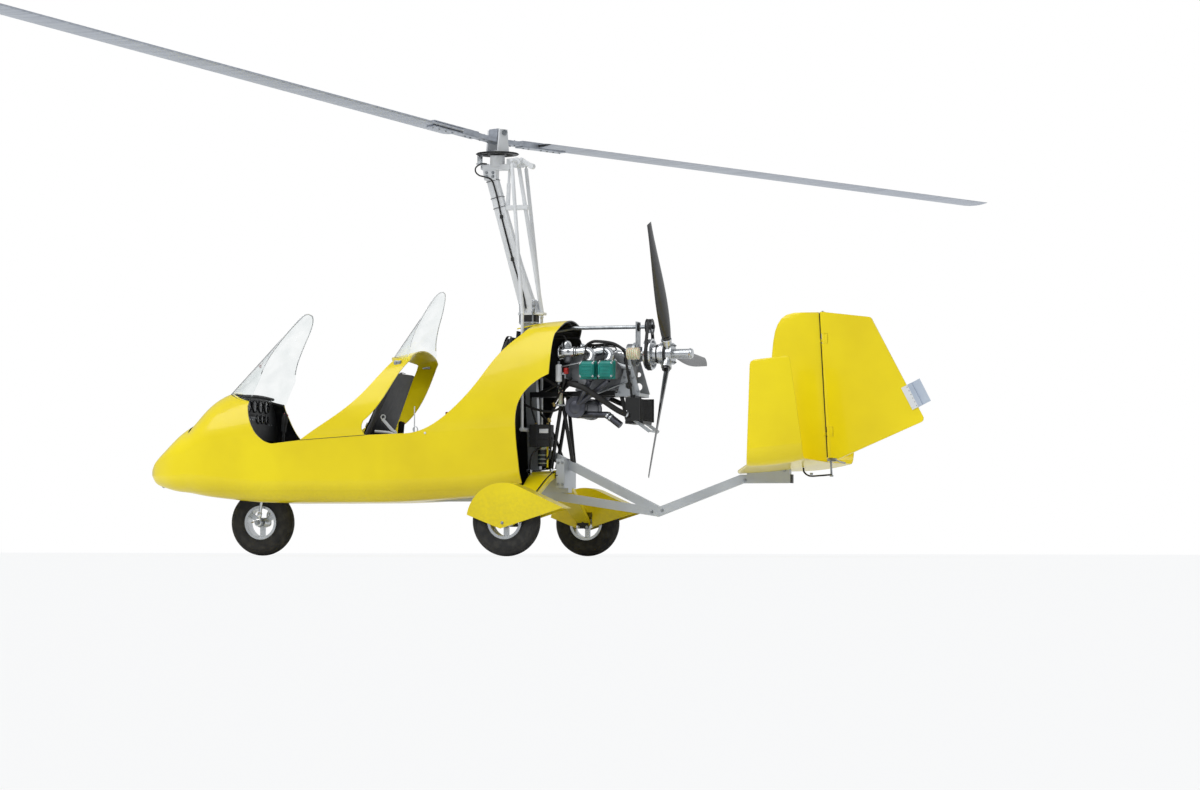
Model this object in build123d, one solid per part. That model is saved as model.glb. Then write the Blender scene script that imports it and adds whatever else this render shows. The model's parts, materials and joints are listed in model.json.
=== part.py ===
"""Two-seat open gyrocopter standing on its wheels: one STEP file for each piece.

Millimetres, +X towards the nose, +Y to the left, +Z up, floor at Z = 0.
Every station X in this file is measured ahead of the main axle; the finished pieces
are shifted once, when written, so that X = 0 is midway between nose and tail.
"""

import math
import os

from build123d import *

# Overall places
NOSE_TIP_X = 2536
TAIL_END_X = -2296
SHIFT_X = -(NOSE_TIP_X + TAIL_END_X) / 2

# Wheels
WHEEL_RADIUS = 200
TYRE_WIDTH = 100
RIM_RADIUS = 94
RIM_FLANGE_RADIUS = 103
RIM_SPOKES = 3
SPOKE_WIDTH = 30
BEAD_HALF_WIDTH = 38
FLANGE_WIDTH = 5
HUB_RADIUS = 30
HUB_HALF_WIDTH = 40
AXLE_RADIUS = 10
RUNNING_FIT = 0.05
SEAT_GAP = 0.3
TRACK = 1570
NOSE_AXLE_X = 1820
WHEEL_Y = TRACK / 2

# Square tubes of the frame
TUBE = 50
TUBE_WALL = 3
KEEL_Z = 350
KEEL_REAR_X = -84
KEEL_FRONT_X = 1500
NOSE_BEAM_Z = 500
HEAD_TUBE_REAR_X = 1790
KINK_X = -672
KINK_Z = 259
BOOM_BEND_X = -1181
BOOM_Z = 451
BOOM_END_X = -1477
# Upper and lower point (x, z) of the diagonal's centre line
DIAGONAL = ((79, 645), (-672, 270))
LOWER_MAST_TOP_Z = 1388
LOWER_MAST_WIDTH = 44
LOWER_MAST_DEPTH = 70

# Mast, side outlines of (x, z)
MAST_FOOT_X = 125
MAST_FOOT_Z = 1430
MAST_HALF_DEPTH = 25
MAST_FRONT_TUBE = ((134, 1440), (168, 1440), (389, 2245), (355, 2245))
MAST_REAR_TUBE = ((67, 1440), (103, 1440), (208, 1741), (350, 2245), (322, 2245), (173, 1741))
MAST_GUSSET = ((70, 1443), (132, 1443), (204, 1735), (180, 1735))
MAST_HEAD = ((328, 2240), (400, 2240), (408, 2300), (326, 2300))
MAST_BRACKET_Z = 2060
MAST_BRACKET_REAR_X = 132
MIDDLE_ROD_RADIUS = 12

# Rotor head
HEAD_BASE_Z = 2300
HEAD_PIVOT_X = 191
HEAD_PIVOT_Z = 2343
HEAD_ARM_Y = 135
PUSH_ROD_FOOT_X = 107
PUSH_ROD_FOOT_Y = 185
CROSS_SHAFT_Z = 745
CROSS_SHAFT_RADIUS = 12
MIDDLE_ROD_FOOT_X = 46
TOWER_INNER = 44
TOWER_CHEEK = 12
TEETER_BOLT_RADIUS = 8
STRAP_THICKNESS = 7

# Nose fork
FORK_LEG_Y = 72
FORK_LEG_RADIUS = 10
FORK_LEAN = 36
CROWN_HALF_LENGTH = 24

# Engine
CRANK_Z = 1085
CARB_Z = 1196
CARB_Y = 150
CYLINDER_X = (-319, -432)
FIN_RADIUS = 52
STAGGER = 24
HEAD_FACE_Y = 244
COVER_FACE_Y = 288
CRANKCASE = (
    (-220, 971), (-172, 1005), (-150, 1060), (-160, 1150), (-200, 1185),
    (-440, 1195), (-488, 1165), (-496, 1010), (-440, 971),
)
RAIL_Z = 955
RAIL_HEIGHT = 30
BELT_X = -620
BELT_TOP_Z = 1348
PULLEY_SMALL = 38
PULLEY_LARGE = 88
BELT_GAP = 0.8

# Pod
POD_WALL = 7
BELLY_SPLIT_Z = 388
# Columns: station, half width, underside, crease height, crown, squareness, bilge radius
POD_SECTIONS = (
    (2536, 42, 478, 510, 545, 2.0, 22),
    (2486, 118, 435, 545, 590, 2.0, 50),
    (2360, 218, 398, 590, 706, 2.0, 90),
    (2179, 292, 370, 640, 853, 2.05, 120),
    (2011, 326, 346, 690, 982, 2.2, 130),
    (1640, 350, 317, 716, 1056, 2.6, 130),
    (1000, 352, 318, 720, 1184, 3.0, 130),
    (400, 345, 350, 740, 1303, 3.2, 120),
    (0, 335, 410, 760, 1383, 3.4, 110),
    (-200, 322, 450, 760, 1396, 3.4, 100),
)
POD_STATIONS = (
    2536, 2520, 2490, 2440, 2370, 2280, 2170, 2040, 1900, 1750, 1600, 1440, 1280, 1120, 960, 800, 640, 480,
    320, 160, 0, -100, -200,
)
CORE_STATIONS = (2462, 2420) + tuple(station for station in POD_STATIONS if station < 2400)

# Side outlines of the cuts: runs of (x, z); a run of more than two points is a smooth curve
FRONT_OPENING = (
    ((1800, 900), (1757, 771), (1700, 700), (1623, 668)),
    ((1623, 668), (1446, 687)),
    ((1446, 687), (1322, 768), (1176, 863), (1062, 958), (969, 1064), (900, 1160)),
    ((900, 1160), (880, 1500)),
    ((880, 1500), (1692, 1500)),
    ((1692, 1500), (1692, 960)),
    ((1692, 960), (1800, 960)),
    ((1800, 960), (1800, 900)),
)
REAR_OPENING = (
    ((780, 1500), (785, 1160)),
    ((785, 1160), (808, 1128), (875, 1012), (948, 895), (1041, 799)),
    ((1041, 799), (1052, 760), (1031, 714)),
    ((1031, 714), (804, 722)),
    ((804, 722), (669, 745), (502, 850), (328, 1034), (261, 1126), (141, 1258), (62, 1337), (36, 1400)),
    ((36, 1400), (36, 1500)),
    ((36, 1500), (780, 1500)),
)
HOOD_TONGUE_X = 168
REAR_EDGE = (
    ((-400, 1500), (-150, 1500)),
    ((-150, 1500), (-140, 1350)),
    ((-140, 1350), (-113, 1299)),
    ((-113, 1299), (-98, 1062)),
    ((-98, 1062), (-20, 1018), (51, 950), (91, 866), (100, 750), (82, 560), (72, 465)),
    ((72, 465), (60, 300)),
    ((60, 300), (-400, 300)),
    ((-400, 300), (-400, 1500)),
)
BOW_SEAM = ((1446, 687), (1031, 714))
DECK_EDGE_RADIUS = 300
DECK_EDGE_X = 1692
HOOP_EDGE_RADIUS = 421
HOOP_EDGE_X = 544

# Windscreens
SCREEN_THICKNESS = 4
# Columns: centre (x, z), end (x, half width, z)
FRONT_SCREEN = (
    ((2046, 948), (1842, 291, 832)),
    ((2004, 990), (1810, 286, 898)),
    ((1767, 1226), (1700, 270, 1128)),
    ((1530, 1463), (1490, 150, 1450)),
)
# Front view of the tops: (half width, z) down from the tip
FRONT_SCREEN_TOP = ((0, 1462), (62, 1452), (118, 1415), (168, 1345), (215, 1240), (262, 1110), (320, 960))
REAR_SCREEN_TOP = ((0, 1578), (52, 1568), (100, 1532), (145, 1462), (185, 1362), (228, 1240), (290, 1060))
REAR_SCREEN = (
    ((982, 1159), (829, 254, 1112)),
    ((950, 1202), (800, 240, 1196)),
    ((805, 1398), (740, 210, 1370)),
    ((660, 1588), (677, 120, 1562)),
)

# Seats
SEAT_HALF_WIDTH = 210
SEAT_TOP_HALF_WIDTH = 150
CUSHION_INSET = 10

# Main gear bow
BOW_CROWN_Z = 485
BOW_THICKNESS = 28
BOW_ROOT_WIDTH = 150
BOW_TIP_WIDTH = 76
BOW_END_Y = WHEEL_Y - 65
BOW_BOSS_LENGTH = 34
BOW_ARC_RADIUS = 499

# Saddle that clamps the bow to the frame
SADDLE_HALF_WIDTH = 36
SADDLE_TOP_Z = 512
SADDLE_FRONT_X = 118
SADDLE_PLATE_HALF_WIDTH = 66
CLAMP_BOX = (-132, -82, 115, 402, 574)

# Spats
SPAT_HALF_WIDTH = 75
SPAT_WALL = 5
SPAT_RADIUS = 218
SPAT_OUTER_Y = WHEEL_Y + SPAT_HALF_WIDTH
SPAT_NOSE = (214, 236)
SPAT_TAIL = (-360, 275)
SPAT_APEX = (15, 157)

# Rotor
ROTOR_X = 327
ROTOR_RADIUS = 4265
BLADE_HEADING = 59.5
TEETER_REST = 4.0
CONING = 3.0
BLADE_CHORD = 205
BLADE_THICKNESS = 24
BLADE_ROOT_R = 300
TEETER_Z = 2522
HUB_BAR_Z = 2473
HUB_BAR_THICKNESS = 25
HUB_BAR_WIDTH = 76
RING_RADIUS = 123
RING_Z = 2392
RING_THICKNESS = 10
SPINDLE_RADIUS = 15

# Propeller
PROP_X = -735
PROP_Z = 1187
PROP_RADIUS = 840
PROP_PHASE = 30
PROP_BLADES = 3
# Columns: radius, chord, thickness, pitch in degrees
PROP_SECTIONS = (
    (100, 62, 22, 42),
    (260, 96, 17, 30),
    (520, 92, 12, 20),
    (PROP_RADIUS, 52, 6, 13),
)

# Tail
HINGE_TOP = (-1660, 1416)
HINGE_LOW = (-1708, 561)
HINGE_GAP = 5
RUDDER_NOSE_RADIUS = 16
CHORD_RISE = 0.10
# Columns: fin nose station, height
FIN_ROWS = (
    (-1290, 525), (-1360, 1180), (-1367, 1250), (-1378, 1308),
    (-1394, 1350), (-1416, 1382), (-1446, 1403), (-1490, 1414),
)
RUDDER_REAR = ((-1947, 1381), (-2263, 782))
RUDDER_LOW = (-1760, 566)
RUDDER_CORNER_RADIUS = 24
HINGE_STATIONS = (700, 1240)
HINGE_PIN_RADIUS = 4
# Columns: nose x, y, z, chord, thickness, direction of the thickness (y, z)
STABILISER_SECTIONS = (
    (-1154, 0, 492, 538, 40, 0, 1),
    (-1352, 560, 516, 342, 32, 0, 1),
    (-1370, 636, 536, 326, 30, -0.64, 0.77),
    (-1380, 666, 606, 316, 28, -1, 0.05),
    (-1398, 672, 1080, 232, 22, -1, 0),
    (-1404, 672, 1096, 222, 21, -1, 0),
    (-1422, 672, 1106, 190, 18, -1, 0),
)
TAB = ((-2124, 969), (-2230, 1023), (-2296, 894), (-2190, 842))

os.makedirs("parts", exist_ok=True)


def write(name, *pieces):
    """Writes one node; several solids that don't touch make one compound."""
    solids = []
    for piece in pieces:
        solids += piece.solids()
    shape = solids[0] if len(solids) == 1 else Compound(solids)
    export_step(shape.moved(Location((SHIFT_X, 0, 0))), f"parts/{name}.step")


def prism(corners, direction):
    """Straight prism from the closed polygon through 3-D corners."""
    face = Face(Wire.make_polygon([Vector(*corner) for corner in corners], close=True))
    return Solid.extrude(face, Vector(*direction))


def side_prism(points, y_from, y_to):
    """Prism across the aircraft from a side outline of (x, z)."""
    return prism([(x, y_from, z) for x, z in points], (0, y_to - y_from, 0))


def curved_prism(runs, y_from, y_to):
    """Prism across the aircraft from a closed side outline of straight and smooth runs."""
    edges = []
    for run in runs:
        points = [Vector(x, y_from, z) for x, z in run]
        edges.append(Edge.make_line(*points) if len(points) == 2 else Edge.make_spline(points))
    return Solid.extrude(Face(Wire(edges)), Vector(0, y_to - y_from, 0))


def plan_prism(points, z_from, z_to):
    """Upright prism from a plan outline of (x, y)."""
    return prism([(x, y, z_from) for x, y in points], (0, 0, z_to - z_from))


def block(x_from, x_to, y_from, y_to, z_from, z_to):
    """Box between two corners."""
    size = (x_to - x_from, y_to - y_from, z_to - z_from)
    return Solid.make_box(*size, Plane(origin=(x_from, y_from, z_from)))


def rod(start, end, radius):
    """Round bar between two points."""
    start = Vector(*start)
    along = Vector(*end) - start
    return Solid.make_cylinder(radius, along.length, Plane(origin=start, z_dir=along))


def bar(start, end, width, height, side=(0, 1, 0)):
    """Rectangular bar between two points; its width lies along side."""
    start = Vector(*start)
    along = Vector(*end) - start
    across = Vector(*side)
    lift = along.cross(across).normalized()
    corners = []
    for a, b in ((-1, -1), (1, -1), (1, 1), (-1, 1)):
        corners.append(start + across * (a * width / 2) + lift * (b * height / 2))
    face = Face(Wire.make_polygon(corners, close=True))
    return Solid.extrude(face, along)


def square_tube(start, end, size=TUBE, wall=TUBE_WALL):
    """Hollow square tube between two points in a plane across the aircraft."""
    return bar(start, end, size, size) - bar(start, end, size - 2 * wall, size - 2 * wall)


def mirrored(solid):
    """The same piece on the other side of the aircraft."""
    return solid.mirror(Plane.XZ)


def turned(profile_edges, origin, axis):
    """Full revolution of a closed profile about an axis."""
    face = Face(Wire(profile_edges))
    return Solid.revolve(face, 360, Axis(origin, axis))


def ring_at(origin, axis, radius, inner_radius, thickness):
    """Flat ring that starts at origin and grows along axis."""
    plane = Plane(origin=origin, z_dir=axis)
    outer = Solid.make_cylinder(radius, thickness, plane)
    return outer - Solid.make_cylinder(inner_radius, thickness, plane)


# Wheels
def tyre(x, y):
    """Tyre with bulged side walls and a crowned tread, seated on its rim."""
    z = WHEEL_RADIUS
    bead = BEAD_HALF_WIDTH
    inner = RIM_RADIUS + SEAT_GAP
    knee = RIM_FLANGE_RADIUS + 1
    bulge = (knee + 39, TYRE_WIDTH / 2)
    shoulder_r, shoulder_y = WHEEL_RADIUS - 14, 40

    def at(radius, across):
        return Vector(x, y + across, z + radius)

    edges = [
        Edge.make_line(at(inner, -bead), at(inner, bead)),
        Edge.make_line(at(inner, bead), at(knee, bead)),
        Edge.make_three_point_arc(at(knee, bead), at(*bulge), at(shoulder_r, shoulder_y)),
        Edge.make_three_point_arc(
            at(shoulder_r, shoulder_y), at(WHEEL_RADIUS, 0), at(shoulder_r, -shoulder_y)
        ),
        Edge.make_three_point_arc(at(shoulder_r, -shoulder_y), at(bulge[0], -bulge[1]), at(knee, -bead)),
        Edge.make_line(at(knee, -bead), at(inner, -bead)),
    ]
    return turned(edges, (x, y, z), (0, 1, 0))


def rim(x, y):
    """Cast rim: barrel with two flanges, three broad spokes, bored hub."""
    z = WHEEL_RADIUS
    flange_from = BEAD_HALF_WIDTH + SEAT_GAP
    flange_to = flange_from + FLANGE_WIDTH
    barrel_inner = RIM_RADIUS - 7
    wheel = ring_at((x, y - flange_to, z), (0, 1, 0), RIM_RADIUS, barrel_inner, 2 * flange_to)
    for side in (-flange_to, flange_from):
        wheel += ring_at((x, y + side, z), (0, 1, 0), RIM_FLANGE_RADIUS, barrel_inner, FLANGE_WIDTH)
    for index in range(RIM_SPOKES):
        spoke = block(0, barrel_inner + 2, -9, 9, -SPOKE_WIDTH / 2, SPOKE_WIDTH / 2)
        wheel += Pos(x, y, z) * Rot(0, -(360 / RIM_SPOKES * index + 30), 0) * spoke
    hub_face = (x, y - HUB_HALF_WIDTH, z)
    hub = ring_at(hub_face, (0, 1, 0), HUB_RADIUS, AXLE_RADIUS + RUNNING_FIT, 2 * HUB_HALF_WIDTH)
    bore = rod(hub_face, (x, y + HUB_HALF_WIDTH, z), AXLE_RADIUS + RUNNING_FIT)
    return wheel + hub - bore


def main_axle():
    """Left stub axle: shoulder against the bow's boss, washer and end nut."""
    z = WHEEL_RADIUS
    inner_face = BOW_END_Y + 8
    hub_face = WHEEL_Y - HUB_HALF_WIDTH
    spindle = rod((0, BOW_END_Y - 36, z), (0, SPAT_OUTER_Y - SPAT_WALL, z), AXLE_RADIUS)
    collar = rod((0, inner_face, z), (0, hub_face - 0.5, z), 20)
    nut = rod((0, WHEEL_Y + HUB_HALF_WIDTH + 0.5, z), (0, SPAT_OUTER_Y - SPAT_WALL, z), 17)
    return spindle + collar + nut


# Main gear bow
def gear_bow():
    """Composite leaf: two straight legs tangent to a crown arc, tapered in plan, bored end bosses."""
    foot = Vector(0, BOW_END_Y, WHEEL_RADIUS)
    radius = BOW_ARC_RADIUS
    centre_z = BOW_CROWN_Z - radius
    # Tangent from the foot to the crown arc
    distance = math.hypot(foot.Y, foot.Z - centre_z)
    reach = math.atan2(foot.Z - centre_z, foot.Y)
    open_angle = math.acos(radius / distance)
    touch = reach + open_angle
    half = BOW_THICKNESS / 2

    def on_arc(angle, offset):
        r = radius + offset
        return Vector(-100, r * math.cos(angle), centre_z + r * math.sin(angle))

    normal = Vector(0, math.cos(touch), math.sin(touch))
    foot_up = Vector(-100, foot.Y, foot.Z) + normal * half
    foot_down = Vector(-100, foot.Y, foot.Z) - normal * half

    def flip(v):
        return Vector(v.X, -v.Y, v.Z)

    top = on_arc(touch, half)
    low = on_arc(touch, -half)
    edges = [
        Edge.make_line(foot_up, top),
        Edge.make_three_point_arc(top, on_arc(math.pi / 2, half), flip(top)),
        Edge.make_line(flip(top), flip(foot_up)),
        Edge.make_line(flip(foot_up), flip(foot_down)),
        Edge.make_line(flip(foot_down), flip(low)),
        Edge.make_three_point_arc(flip(low), on_arc(math.pi / 2, -half), low),
        Edge.make_line(low, foot_down),
        Edge.make_line(foot_down, foot_up),
    ]
    leaf = Solid.extrude(Face(Wire(edges)), Vector(200, 0, 0))
    root = BOW_ROOT_WIDTH / 2
    tip = BOW_TIP_WIDTH / 2
    tip_from = BOW_END_Y - 20
    tip_to = BOW_END_Y + 80
    plan = [
        (-root, 0), (-root, 90), (-tip, tip_from), (-tip, tip_to),
        (tip, tip_to), (tip, tip_from), (root, 90), (root, 0),
    ]
    full_plan = plan + [(x, -y) for x, y in reversed(plan)]
    leaf = leaf & plan_prism([p for p in full_plan if p[1] != 0], 0, 700)
    boss_from = BOW_END_Y - BOW_BOSS_LENGTH
    boss_to = BOW_END_Y + 8
    for side in (1, -1):
        leaf += rod((0, side * boss_from, WHEEL_RADIUS), (0, side * boss_to, WHEEL_RADIUS), 26)
    for side in (1, -1):
        bore_from = (0, side * (BOW_END_Y - 60), WHEEL_RADIUS)
        bore_to = (0, side * (BOW_END_Y + 10), WHEEL_RADIUS)
        leaf -= rod(bore_from, bore_to, AXLE_RADIUS + RUNNING_FIT)
    return leaf


def gear_saddle():
    """Clamp round the crown of the bow: core on the keel, plate on top and a wide box behind the bow."""
    rear_x, front_x, half_width, low, top = CLAMP_BOX
    half = SADDLE_HALF_WIDTH
    wide = SADDLE_PLATE_HALF_WIDTH
    crown_top = BOW_CROWN_Z + BOW_THICKNESS / 2
    body = block(rear_x, SADDLE_FRONT_X, -half, half, KEEL_Z + TUBE / 2, SADDLE_TOP_Z)
    body += block(rear_x, SADDLE_FRONT_X, -wide, wide, crown_top, SADDLE_TOP_Z)
    body += block(rear_x, front_x, -half_width, half_width, low, top)
    body -= bar((-300, 0, diagonal_line(-300)), (60, 0, diagonal_line(60)), TUBE, TUBE)
    body -= lower_mast_bar(0) & block(0, 200, -60, 60, SADDLE_TOP_Z, 700)
    return body - gear_bow()


# Spats
def spat_profile(y, inset):
    """Side face of the spat: round front and top, straight tail, shallow V below."""
    radius = SPAT_RADIUS - inset
    z0 = WHEEL_RADIUS
    nose_angle = math.asin((SPAT_NOSE[1] - z0) / radius)
    tail = (SPAT_TAIL[0] + 3 * inset, SPAT_TAIL[1])
    distance = math.hypot(tail[0], tail[1] - z0)
    reach = math.atan2(tail[1] - z0, tail[0])
    touch = reach - math.acos(radius / distance)

    def on_arc(angle):
        return Vector(radius * math.cos(angle), y, z0 + radius * math.sin(angle))

    nose = on_arc(nose_angle)
    top = on_arc(touch)
    edges = [
        Edge.make_three_point_arc(nose, on_arc((nose_angle + touch) / 2), top),
        Edge.make_line(top, Vector(tail[0], y, tail[1])),
    ]
    if inset:
        edges += [
            Edge.make_line(Vector(tail[0], y, tail[1]), Vector(tail[0], y, 0)),
            Edge.make_line(Vector(tail[0], y, 0), Vector(nose.X, y, 0)),
            Edge.make_line(Vector(nose.X, y, 0), nose),
        ]
    else:
        edges += [
            Edge.make_line(Vector(tail[0], y, tail[1]), Vector(SPAT_APEX[0], y, SPAT_APEX[1])),
            Edge.make_line(Vector(SPAT_APEX[0], y, SPAT_APEX[1]), nose),
        ]
    return Face(Wire(edges))


def spat():
    """Left wheel fairing: closed both sides, open below, slot for the bow in its inner side."""
    y_in = WHEEL_Y - SPAT_HALF_WIDTH
    body = Solid.extrude(spat_profile(y_in, 0), Vector(0, 2 * SPAT_HALF_WIDTH, 0))
    cavity_from = y_in + SPAT_WALL
    cavity_width = 2 * (SPAT_HALF_WIDTH - SPAT_WALL)
    cavity = Solid.extrude(spat_profile(cavity_from, SPAT_WALL), Vector(0, cavity_width, 0))
    slot = block(-50, 50, y_in - 10, y_in + SPAT_WALL + 1, 100, 268)
    return body - cavity - slot


# Pod
def pod_section(row, inset):
    """Closed section of the pod: flat bottom, bilge arcs, sides, three arcs of a superellipse above."""
    station, half_width, low, crease, crown, square, bilge = row
    w = half_width - inset
    low = low + inset
    rise = crown - inset - crease
    r = min(bilge, 0.45 * (crease - low))

    def upper(degrees):
        t = math.radians(degrees)
        y = w * math.cos(t) ** (2 / square) if degrees < 90 else 0
        return Vector(station, y, crease + rise * math.sin(t) ** (2 / square))

    def flip(v):
        return Vector(v.X, -v.Y, v.Z)

    side_low = Vector(station, w, low + r)
    side_top = Vector(station, w, crease)
    cut = r * (1 - math.cos(math.radians(45)))
    corner = Vector(station, w - cut, low + cut)
    bottom = Vector(station, w - r, low)
    a15, a30, a45, a60 = upper(14), upper(30), upper(46), upper(62)
    edges = [
        Edge.make_line(flip(bottom), bottom),
        Edge.make_three_point_arc(bottom, corner, side_low),
        Edge.make_line(side_low, side_top),
        Edge.make_three_point_arc(side_top, a15, a30),
        Edge.make_three_point_arc(a30, a45, a60),
        Edge.make_three_point_arc(a60, upper(90), flip(a60)),
        Edge.make_three_point_arc(flip(a60), flip(a45), flip(a30)),
        Edge.make_three_point_arc(flip(a30), flip(a15), flip(side_top)),
        Edge.make_line(flip(side_top), flip(side_low)),
        Edge.make_three_point_arc(flip(side_low), flip(corner), flip(bottom)),
    ]
    return Wire(edges)


def pod_row(station):
    """Row of the pod's table at any station, by a monotone cubic through the rows on either side."""
    rows = POD_SECTIONS[::-1]
    count = len(rows)
    index = max(i for i in range(count - 1) if rows[i][0] <= station)
    gap = rows[index + 1][0] - rows[index][0]
    t = (station - rows[index][0]) / gap

    def steepness(i, column):
        return (rows[i + 1][column] - rows[i][column]) / (rows[i + 1][0] - rows[i][0])

    def slope(i, column):
        if i == 0:
            return steepness(0, column)
        if i == count - 1:
            return steepness(count - 2, column)
        before, after = steepness(i - 1, column), steepness(i, column)
        return 0 if before * after <= 0 else 2 * before * after / (before + after)

    values = [station]
    for column in range(1, len(rows[0])):
        low, high = rows[index][column], rows[index + 1][column]
        value = (2 * t**3 - 3 * t**2 + 1) * low + (3 * t**2 - 2 * t**3) * high
        value += gap * (t**3 - 2 * t**2 + t) * slope(index, column)
        value += gap * (t**3 - t**2) * slope(index + 1, column)
        values.append(value)
    return values


def pod_solid(inset):
    """The pod's full outside, shrunk all round by inset."""
    return Solid.make_loft([pod_section(pod_row(station), inset) for station in POD_STATIONS])


def pod_core(inset):
    """Space inside the pod, one wall thickness in from its outside."""
    rows = [pod_row(station) for station in CORE_STATIONS]
    rear = rows[-1][:]
    rear[0] -= 60
    return Solid.make_loft([pod_section(row, inset) for row in rows + [rear]])


def pod_shell():
    """Hollow pod with both cockpit openings and the open engine bay cut."""
    shell = pod_solid(0) - pod_core(POD_WALL)
    shell -= rod((DECK_EDGE_X, 0, 800), (DECK_EDGE_X, 0, 1500), DECK_EDGE_RADIUS)
    hoop_edge = rod((HOOP_EDGE_X, 0, 1080), (HOOP_EDGE_X, 0, 1500), HOOP_EDGE_RADIUS)
    shell -= curved_prism(FRONT_OPENING, -500, 500) - hoop_edge
    tongue = block(-200, HOOD_TONGUE_X, -100, 100, 1100, 1600)
    shell -= curved_prism(REAR_OPENING, -500, 500) - tongue
    shell -= curved_prism(REAR_EDGE, -500, 500)
    shell -= block(-400, 100, -300, 300, 300, 530)
    plate_edge = SADDLE_PLATE_HALF_WIDTH + 4
    shell -= block(0, SADDLE_FRONT_X + 4, -plate_edge, plate_edge, 300, 530)
    shell -= lower_mast_bar(2 * SEAT_GAP)
    shell -= bar((-200, 0, KEEL_Z), (KEEL_FRONT_X + 30, 0, KEEL_Z), TUBE + 2 * SEAT_GAP, TUBE + 2 * SEAT_GAP)
    well_half_length = 180
    well_half_width = 130
    shell -= block(
        NOSE_AXLE_X - well_half_length, NOSE_AXLE_X + well_half_length,
        -well_half_width, well_half_width, 250, 420,
    )
    return shell


def pod_pieces():
    """Belly panel, body shell and bow, split on the real seams."""
    shell = pod_shell()
    belly_zone = block(-400, 2700, -500, 500, 200, BELLY_SPLIT_Z)
    (x_front, z_front), (x_rear, z_rear) = BOW_SEAM
    bow_zone = side_prism(
        ((x_front, z_front), (x_front, 1500), (750, 1500), (750, 1100), (x_rear, z_rear)), -500, 500
    )
    belly = shell & belly_zone
    bow = shell & bow_zone
    body = shell - belly_zone - bow_zone
    return belly, body, bow


def screen_row(centre, end):
    """Closed section of a curved windscreen: an arc and the same arc one sheet thickness inside."""
    x_mid, z_mid = centre
    x_end, half_width, z_end = end
    inward = Vector(x_end - x_mid, 0, z_end - z_mid).normalized() * SCREEN_THICKNESS
    left = Vector(x_end, half_width, z_end)
    right = Vector(x_end, -half_width, z_end)
    middle = Vector(x_mid, 0, z_mid)
    return Wire([
        Edge.make_three_point_arc(left, middle, right),
        Edge.make_line(right, right + inward),
        Edge.make_three_point_arc(right + inward, middle + inward, left + inward),
        Edge.make_line(left + inward, left),
    ])


def windscreen(rows, top):
    """Curved clear sheet from its base on the pod's skin to its rounded top."""
    sheet = Solid.make_loft([screen_row(centre, end) for centre, end in rows])
    curve = [Vector(500, -y, z) for y, z in reversed(top)] + [Vector(500, y, z) for y, z in top[1:]]
    low_left, low_right = Vector(500, -400, 700), Vector(500, 400, 700)
    outline = Wire([
        Edge.make_spline(curve),
        Edge.make_line(curve[-1], low_right),
        Edge.make_line(low_right, low_left),
        Edge.make_line(low_left, curve[0]),
    ])
    sheet = (sheet & Solid.extrude(Face(outline), Vector(2000, 0, 0))) - pod_solid(-SEAT_GAP)
    return max(sheet.solids(), key=lambda s: s.volume)


def firewall():
    """Slanted bulkhead between the rear seat and the engine, shaped to the inside of the pod."""
    side_outline = ((401, 340), (168, 1160), (161, 1330), (167, 1330), (174, 1160), (407, 342))
    plate = side_prism(side_outline, -500, 500)
    corners = (
        (-400, 300), (400, 300), (400, 1165), (130, 1200),
        (110, 1340), (-110, 1340), (-130, 1200), (-400, 1165),
    )
    front_view = prism([(0, y, z) for y, z in corners], (600, 0, 0))
    keel_slot = block(-400, 600, -TUBE / 2 - 1, TUBE / 2 + 1, 300, KEEL_Z + TUBE / 2 + 1)
    return (plate & front_view & pod_core(POD_WALL + SEAT_GAP)) - keel_slot


def instrument_panel():
    """Upright panel across the pod under the windscreen, with its shelf forward to the deck."""
    face = block(1866, 1872, -500, 500, 700, 962)
    shelf = block(1866, 2060, -500, 500, 956, 962)
    return (face + shelf) & pod_core(POD_WALL + SEAT_GAP)


def controls():
    """Two sticks with grips and the front and rear pairs of pedals on their posts."""
    sticks = []
    for foot, top in (((1700, 0, NOSE_BEAM_Z + 25), (1688, 0, 800)), ((960, 0, KEEL_Z + 25), (935, 0, 745))):
        foot_block = block(foot[0] - 25, foot[0] + 25, -20, 20, foot[2], foot[2] + 24)
        stick = rod((foot[0], 0, foot[2] + 10), top, 9)
        grip_top = (top[0] - 6, 0, top[2] + 60)
        stick += rod((top[0] + 4, 0, top[2] - 50), grip_top, 16)
        sticks.append(foot_block + stick)
    pedals = []
    for x, z, y in ((2120, 520, 110), (1230, 520, 272)):
        for side in (1, -1):
            plate = block(x - 10, x + 14, side * y - 30, side * y + 30, z - 8, z + 70)
            post = rod((x, side * y, z), (x, side * y, 280), 9)
            pedals.append((plate + post) & pod_core(POD_WALL + SEAT_GAP))
    write("cockpit_controls", *sticks, *pedals)


# Seats
def seat_taper(top_z, inset):
    """Front-view envelope of a seat: full width at the pan, narrower at the top."""
    low = SEAT_HALF_WIDTH - inset
    high = SEAT_TOP_HALF_WIDTH - inset
    corners = ((-low, 300), (low, 300), (low, 600), (high, top_z + 30), (-high, top_z + 30), (-low, 600))
    return prism([(0, y, z) for y, z in corners], (2000, 0, 0))


def seat(points, cushions, support):
    """Bent seat pan on two side walls that stand on the floor, and its cushions, all side outlines."""
    top_z = max(z for x, z in points)
    pan = side_prism(points, -SEAT_HALF_WIDTH, SEAT_HALF_WIDTH) & seat_taper(top_z, 0)
    for y in (SEAT_HALF_WIDTH - 26, 20 - SEAT_HALF_WIDTH):
        pan += side_prism(support, y, y + 6) & pod_core(POD_WALL + SEAT_GAP)
    pads = []
    for outline in cushions:
        pad = side_prism(outline, -SEAT_HALF_WIDTH, SEAT_HALF_WIDTH)
        pads.append(pad & seat_taper(top_z, CUSHION_INSET))
    return pan, pads


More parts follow.
